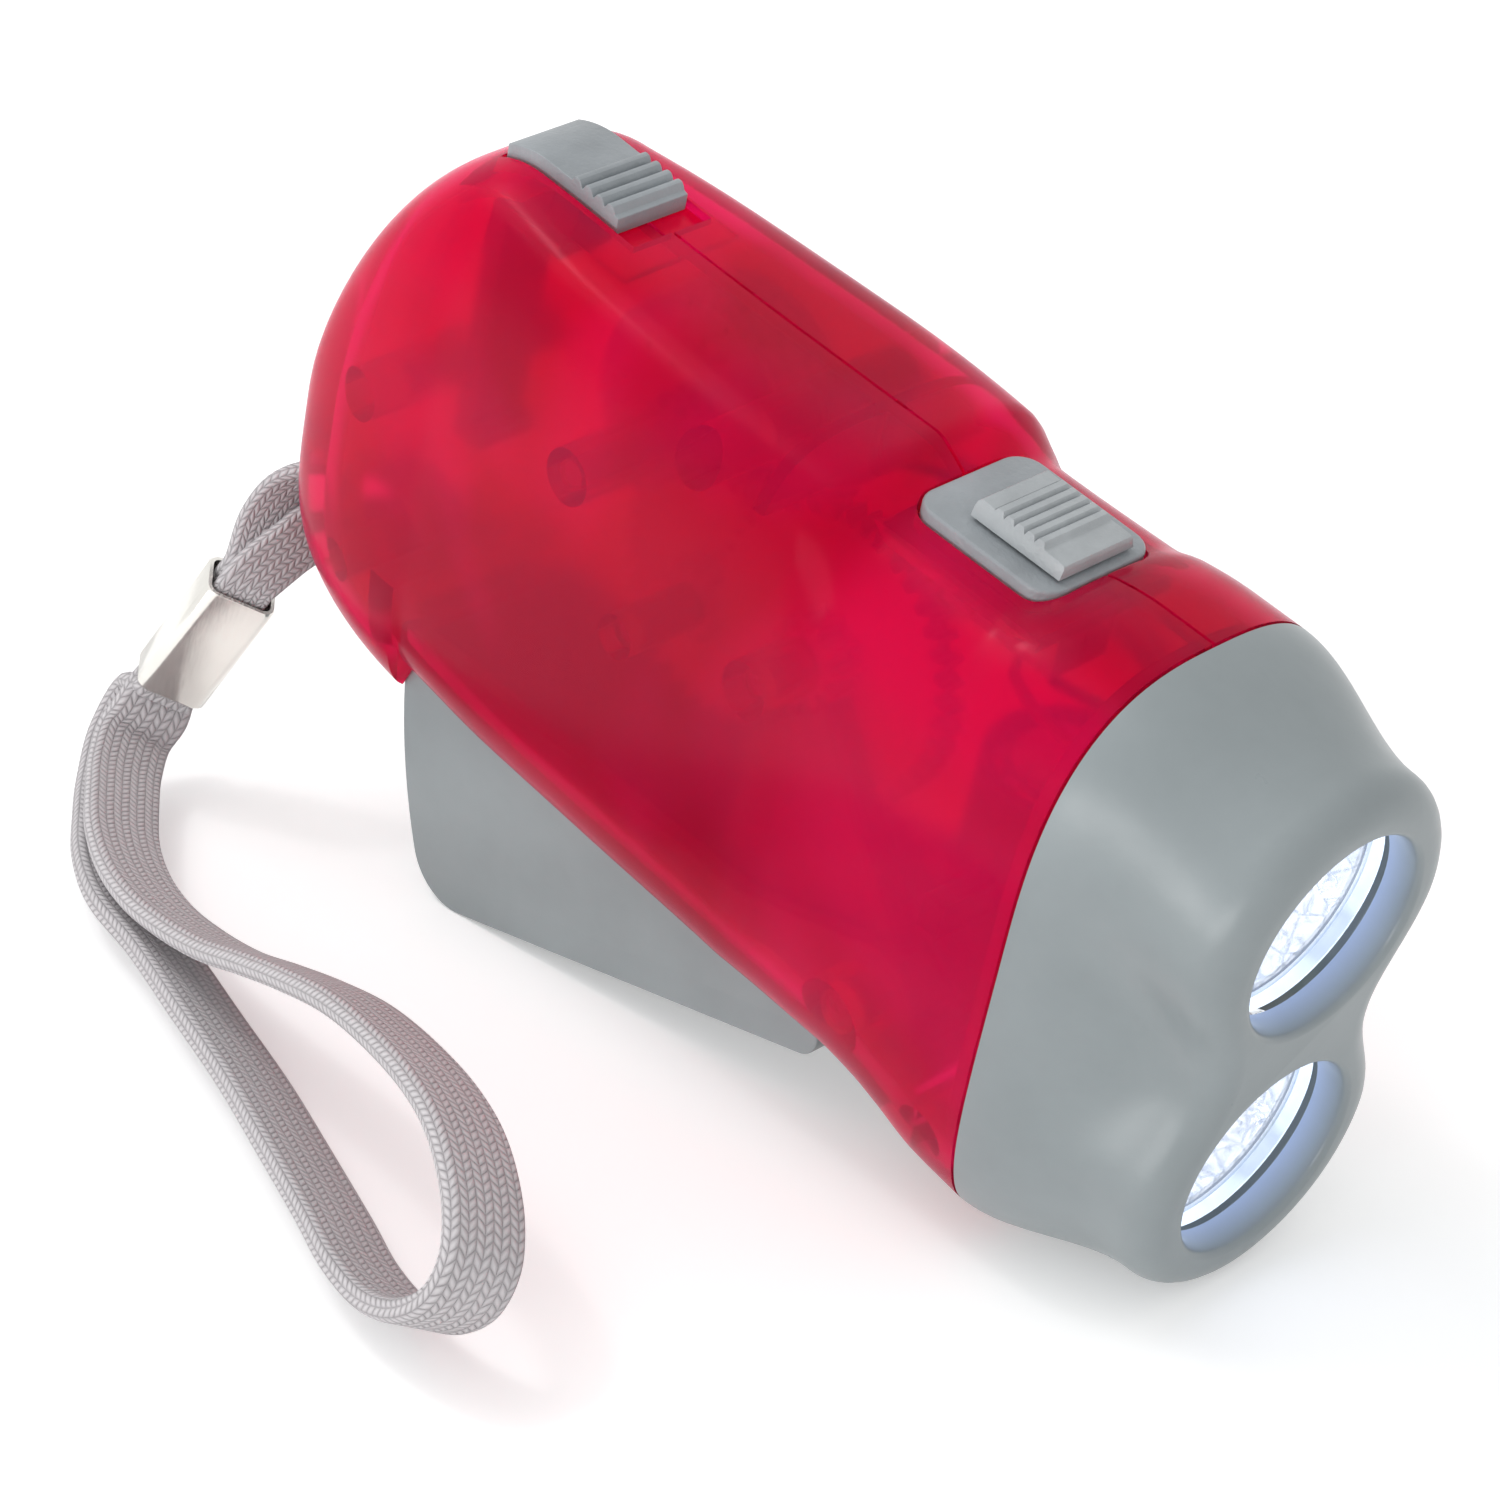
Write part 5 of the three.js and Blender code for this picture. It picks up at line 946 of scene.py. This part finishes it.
def make_lens(word, z):
    """The clear disc, whose rim beyond a radius is bright metal with a painted glow."""
    lens = turned(f"lens_{word}_disc", LENS, z)
    finish_piece(lens, "lens_clear", (f"lens_{word}",), ("lens_clear", "rim_silver"), place=Matrix())
    for face in lens.data.polygons:
        _, y, height = face.center
        face.material_index = int(hypot(y, height - z) > LENS_RIM)
    lens.data.transform(REST)


def make_bowl(word, z, sides=30, rows=9):
    """Reflector with staggered flat facets in rows."""
    front, depth, mouth, throat = -5.5, 9.2, 8.6, 3.2
    rim, rim_depth, wall = 9.2, 0.6, 0.8
    radii = [mouth - (mouth - throat) * r / rows for r in range(rows + 1)]

    def bowl_x(radius):
        return front - depth * (1 - (radius ** 2 - throat ** 2) / (mouth ** 2 - throat ** 2))

    points, faces = [], []
    for r, radius in enumerate(radii):
        points += ring_round(z, bowl_x(radius), radius, sides, 0.5 * (r % 2))
    for i, (a, b, c, d) in enumerate(strips(range(0, len(points), sides), sides)):
        faces += [(a, b, d), (b, c, d)] if i // sides % 2 == 0 else [(a, c, d), (a, b, c)]
    outside = [(front, rim), (front - rim_depth, rim), (front - rim_depth, mouth + 0.4)]
    outside += [(bowl_x(radius), radius + wall) for radius in radii[1:]]
    starts = [0]
    for x, radius in outside:
        starts.append(len(points))
        points += ring_round(z, x, radius, sides)
    faces += strips(starts + [rows * sides], sides)
    piece = facing_out(mesh_object(f"reflector_{word}_bowl", points, faces))
    finish_piece(piece, "reflector_silver", (f"reflector_{word}",), degrees=4)


def make_lamp(word, z):
    """Clear dome with a flange, and the metal cup and chip inside it."""
    finish_piece(turned(f"led_{word}_dome", DOME, z, 40), "lamp_clear", (f"led_{word}",))
    finish_piece(turned(f"led_{word}_cup", CUP, z, 28), "plated_steel")
    finish_piece(turned(f"led_{word}_chip", CHIP, z, 20), "black_plastic", looks=("phosphor",))


for word, z in (("upper", LAMP), ("lower", -LAMP)):
    make_lens(word, z)
    make_bowl(word, z)
    make_lamp(word, z)

# Lever
STROKE, REACH, FRONT_RADIUS, HEEL_RADIUS = 20.4, 55.1, 8.0, 5.0
LEVER_WALL, LEVER_SIDE_WALL, LEVER_EDGE, HUB_RADIUS, BORE_RADIUS = 1.8, 1.6, 0.9, 2.9, 1.8
# Along the sole and down to it from the pin: the sole's front corner, the groove ahead of it, and the web
SOLE_FRONT, SOLE_CORNER, GROOVE_REAR, GROOVE_FLOOR = -8.9, 2.4, -6.5, 5.4
WEB_REAR, WEB_FRONT, WEB_TOP, WEB_SOLE = -8.3, -4.26, 4.5, 8.2
# The sector's sides, teeth and module, the first gear's angle from the pin, and its spare angle at both ends
SECTOR_SIDES = (-6.4, -3.9)
SECTOR_TEETH, SECTOR_MODULE, DRIVE_ANGLE, SPARE_ANGLE = 76, 0.6, 126, 3.6
SECTOR_FOOT = [(-22.8, 7.1), (-9.6, 7.1), (-9.6, 4.9), (-2.9, 4.9)]
# Radii of the catch's two sides, its lower end and length in degrees, and its half width
CATCH_INNER, CATCH_OUTER, CATCH_LOW, CATCH_SPAN, CATCH_HALF = 54.2, 57.2, 183.44, 2.4, 6


def from_pin(points):
    return [(x + PIVOT[0], z + PIVOT[1]) for x, z in points]


def on_sole(forward, down):
    """A place from the pin, along the open lever's sole and down across it."""
    u = Vector((cos(radians(STROKE)), sin(radians(STROKE))))
    n = Vector((u.y, -u.x))
    return u * forward + n * down


def angle_of(place):
    return atan2(place.y, place.x) % tau


def lever_outline(inset, open_top):
    """The lever from the side, drawn in by an inset: its whole outline, or its hollow, open at the top."""
    down = FRONT_RADIUS - HEEL_RADIUS
    heel = on_sole(-sqrt((REACH - HEEL_RADIUS) ** 2 - down ** 2), down)
    reach, front, front_end = REACH - inset, FRONT_RADIUS - inset, radians(345)
    sole_angle = angle_of(on_sole(0, 1))
    points = [(-reach, PAST)] if open_top else []
    points += arc((0, 0), reach, pi + 1.0 / reach, angle_of(heel), 18)
    points += arc(heel, HEEL_RADIUS - inset, angle_of(heel), sole_angle, 14)[1:]
    if open_top:
        points += arc((0, 0), front, sole_angle, front_end, 12)
        points.append((front, PAST))
    else:
        corner = on_sole(SOLE_FRONT, FRONT_RADIUS - SOLE_CORNER)
        points += arc(corner, SOLE_CORNER, sole_angle, sole_angle + pi / 2, 10)
        points.append(on_sole(GROOVE_REAR, GROOVE_FLOOR))
        barrel = on_sole(-sqrt(FRONT_RADIUS ** 2 - GROOVE_FLOOR ** 2), GROOVE_FLOOR)
        points += arc((0, 0), front, angle_of(barrel), front_end, 24)
        hub = HUB_RADIUS + LEVER_WALL
        points += arc((0, 0), hub, 0, radians(120), 10)
        points.append((-hub * 3, 0))
    return from_pin(points)


def sector_outline():
    """The toothed sector that drives the first gear, from the hub round its teeth to its foot."""
    pitch = tau / SECTOR_TEETH
    root, tip = (SECTOR_TEETH * SECTOR_MODULE / 2 + SECTOR_MODULE * share for share in (-1.25, 0.8))
    low, high = radians(DRIVE_ANGLE - SPARE_ANGLE), radians(DRIVE_ANGLE + STROKE + SPARE_ANGLE)
    angle = radians(DRIVE_ANGLE) - pitch * (int(radians(SPARE_ANGLE) / pitch) + 0.5)
    points = [polar(HUB_RADIUS, low - radians(40))]
    while angle < high:
        for radius, share in ((root, -0.27), (tip, -0.1), (tip, 0.1), (root, 0.27)):
            points.append(polar(radius, angle + pitch * share))
        angle += pitch
    return from_pin(points + [on_sole(*place) for place in SECTOR_FOOT])


def make_lever():
    lever = prism("lever_body", lever_outline(0, False), -LEVER_HALF, LEVER_HALF)

    def on_rim(edge):
        a, b = (vertex.co.y for vertex in edge.verts)
        return min(abs(a), abs(b)) > LEVER_HALF - 0.01 and a * b > 0

    soften(lever, LEVER_EDGE, 4, 40, on_rim)
    half = LEVER_HALF - LEVER_SIDE_WALL
    cavity = prism("cavity", lever_outline(LEVER_WALL, True), -half, half)
    web = [(WEB_REAR, WEB_TOP), (WEB_FRONT, WEB_TOP), (WEB_FRONT, WEB_SOLE), (WEB_REAR, WEB_SOLE)]
    cut(cavity, prism("web", from_pin(on_sole(*place) for place in web), -PAST, PAST))
    cut(lever, cavity)
    high, low = radians(CATCH_LOW) - radians(CATCH_SPAN), radians(CATCH_LOW)
    lip = [(CATCH_INNER, high), (CATCH_OUTER, high), (CATCH_OUTER, low), (CATCH_INNER, low)]
    join(lever, bar("hub", PIVOT, HUB_RADIUS, -LEVER_HALF, LEVER_HALF),
         prism("sector", sector_outline(), *SECTOR_SIDES),
         prism("lip", [polar(*place, PIVOT) for place in lip], -CATCH_HALF, CATCH_HALF))
    cut(lever, bar("bore", PIVOT, BORE_RADIUS))
    finish_piece(lever, "grey_plastic", ("squeeze_lever",), body="lever", degrees=30)


make_lever()


# Sliders
def make_lock():
    """Slider in the tail: a smooth curved rear and rounded ribs at its front."""
    ribs, pitch, height = 4, 1.3, 0.45
    rib_start = LOCK_FRONT - RUNNING - ribs * pitch
    # Share of the pitch and rise over the body's top, along each rib
    rib = [(0.06, 0.1), (0.14, 0.33), (0.26, height), (0.45, height + 0.03), (0.62, height - 0.03),
           (0.78, 0.2), (0.9, -0.12), (0.97, -0.16)]
    lower = top_line(LOCK_REAR, LOCK_FRONT, 0.7, 0)
    upper = top_line(LOCK_REAR, rib_start, -0.9, 0, 14)
    for i in range(ribs):
        rear = rib_start + i * pitch
        top = row_at(rear)[2] + 0.9
        upper += [(rear + pitch * share, top + rise) for share, rise in rib]
    upper.append((LOCK_FRONT, row_at(LOCK_FRONT)[2] + 0.75))
    cap = prism("lock_cap", lower + upper[::-1], -LOCK_HALF, LOCK_HALF)
    soften(cap, 0.28, 3, 50)
    # The arm hangs down from the foot and ends in the nose that hooks the lever's catch
    rear, half, foot_top, nose_low = -91.51, 2.8, 21.4, -0.93
    stem_rear, stem_front, _ = LOCK_STEM
    join(cap,
         stem_box("stem", LOCK_STEM, LOCK_SOLE, row_at(stem_rear)[2]),
         box("foot", (rear, -half, LOCK_SOLE), (stem_front, half, foot_top)),
         box("arm", (rear, -half, nose_low), (rear + WALL, half, foot_top)),
         box("nose", (rear, -half, nose_low), (rear + 3.2, half, nose_low + 1.7)))
    finish_piece(cap, "slider_grey", ("lock_slider",), body="lock", degrees=30)


def make_plate():
    """Switch plate in the saddle, with a flange under the shells and a slot for the thumb piece."""
    plate = prism("switch_top", plate_outline(), PLATE_SOLE, PLATE_TOP, "Z")
    soften(plate, 0.3, 3, 60, lambda edge: all(v.co.z > PLATE_TOP - 0.01 for v in edge.verts))
    join(plate, plate_box("flange", FLANGE, PLATE_SOLE, FLANGE_TOP))
    cut(plate, stem_box("slot", THUMB_STEM, 0, PAST, RUNNING, back=THUMB_TRAVEL))
    finish_piece(plate, "slider_grey", ("switch_plate",), degrees=30)


def make_thumb():
    """Thumb piece of the switch: narrower at its top, with ribs across it."""
    front, length, bottom, height, half, top_half, stem_low = -28.65, 9.2, 25.8, 1.7, 4.0, 3.45, 20.7
    rear, top = front - length, bottom + height
    ribs, pitch, rib_height = 5, 1.05, 0.5
    start = front - length * 0.24 - ribs * pitch
    # Share of the pitch and drop from the top, along each rib from its front
    rib = [(0.99, 0.46), (0.9, 0.34), (0.8, 0.1), (0.7, 0.0), (0.25, 0.0), (0.12, 0.1), (0.03, 0.3)]
    outline = [(rear, bottom), (front, bottom), (front, top - height * 0.5),
               (front - 0.12, top - height * 0.36), (front - height * 0.25, top - rib_height)]
    for i in reversed(range(ribs)):
        outline += [(start + i * pitch + pitch * share, top - drop) for share, drop in rib]
    outline += [(start - 0.05, top - rib_height * 0.42), (rear + height * 0.25, top - rib_height * 0.3),
                (rear + 0.1, top - height * 0.28), (rear, top - height * 0.5)]
    cap = prism("thumb_cap", outline, -half, half)
    across = [(-half, bottom), (half, bottom), (top_half, top), (-top_half, top)]
    meet(cap, prism("thumb_sides", across, rear - 4, front + 4, "X"))
    soften(cap, 0.16, 2, 50)
    join(cap, stem_box("stem", THUMB_STEM, stem_low, bottom + height / 2))
    # The thumb wears a lighter copy of the slider grey, a painted highlight
    finish_piece(cap, "slider_grey", ("switch_thumb",), ("thumb_grey",), "thumb", degrees=30)


make_lock()
make_plate()
make_thumb()


# Stage and light
def make_floor(half=4, shine=0.3):
    floor = mesh_object("floor", [(-half, -half, 0), (half, -half, 0), (half, half, 0), (-half, half, 0)],
                        [(0, 1, 2, 3)])
    made = new_material("floor")
    made.set(Base_Color=made.mix(made.noise(3), (0.90, 0.90, 0.90), (0.92, 0.92, 0.92)), Roughness=0.9,
             Specular_IOR_Level=0.0)
    glow = made.add("Emission", {"Strength": made.times(made.seen(), shine)})
    both = made.add("AddShader", {0: made.shader.outputs[0], 1: glow.outputs[0]})
    made.feed(made.tree.nodes["Material Output"].inputs["Surface"], both.outputs[0])
    floor.data.materials.append(made.owner)


def make_world(light=0.76, background=1.0):
    """White, as bright as a background where it's seen and dimmer where it lights."""
    made = Nodes(bpy.data.worlds.new("world"))
    sky = made.tree.nodes["Background"]
    made.feed(sky.inputs["Color"], (1, 1, 1))
    made.feed(sky.inputs["Strength"], made.stretch(made.seen(), 0, 1, light, background))
    scene.world = made.owner


def make_light(name, place, size, power, target=(0, 0, 0.03)):
    data = bpy.data.lights.new(name, "AREA")
    data.shape = "RECTANGLE"
    data.size, data.size_y = size
    data.energy = power
    light = bpy.data.objects.new(name, data)
    scene.collection.objects.link(light)
    light.location = place
    light.rotation_euler = (Vector(target) - Vector(place)).to_track_quat("-Z", "Y").to_euler()


make_floor()
make_world()
make_light("key", (-0.36, -0.15, 0.66), (0.4, 0.4), 1.0)
make_light("glint", (-0.40, -0.17, 0.73), (0.08, 0.08), 0.45)
make_light("fill", (0.05, -0.75, 0.12), (0.7, 0.24), 2.0)
scene.view_settings.view_transform = "Standard"
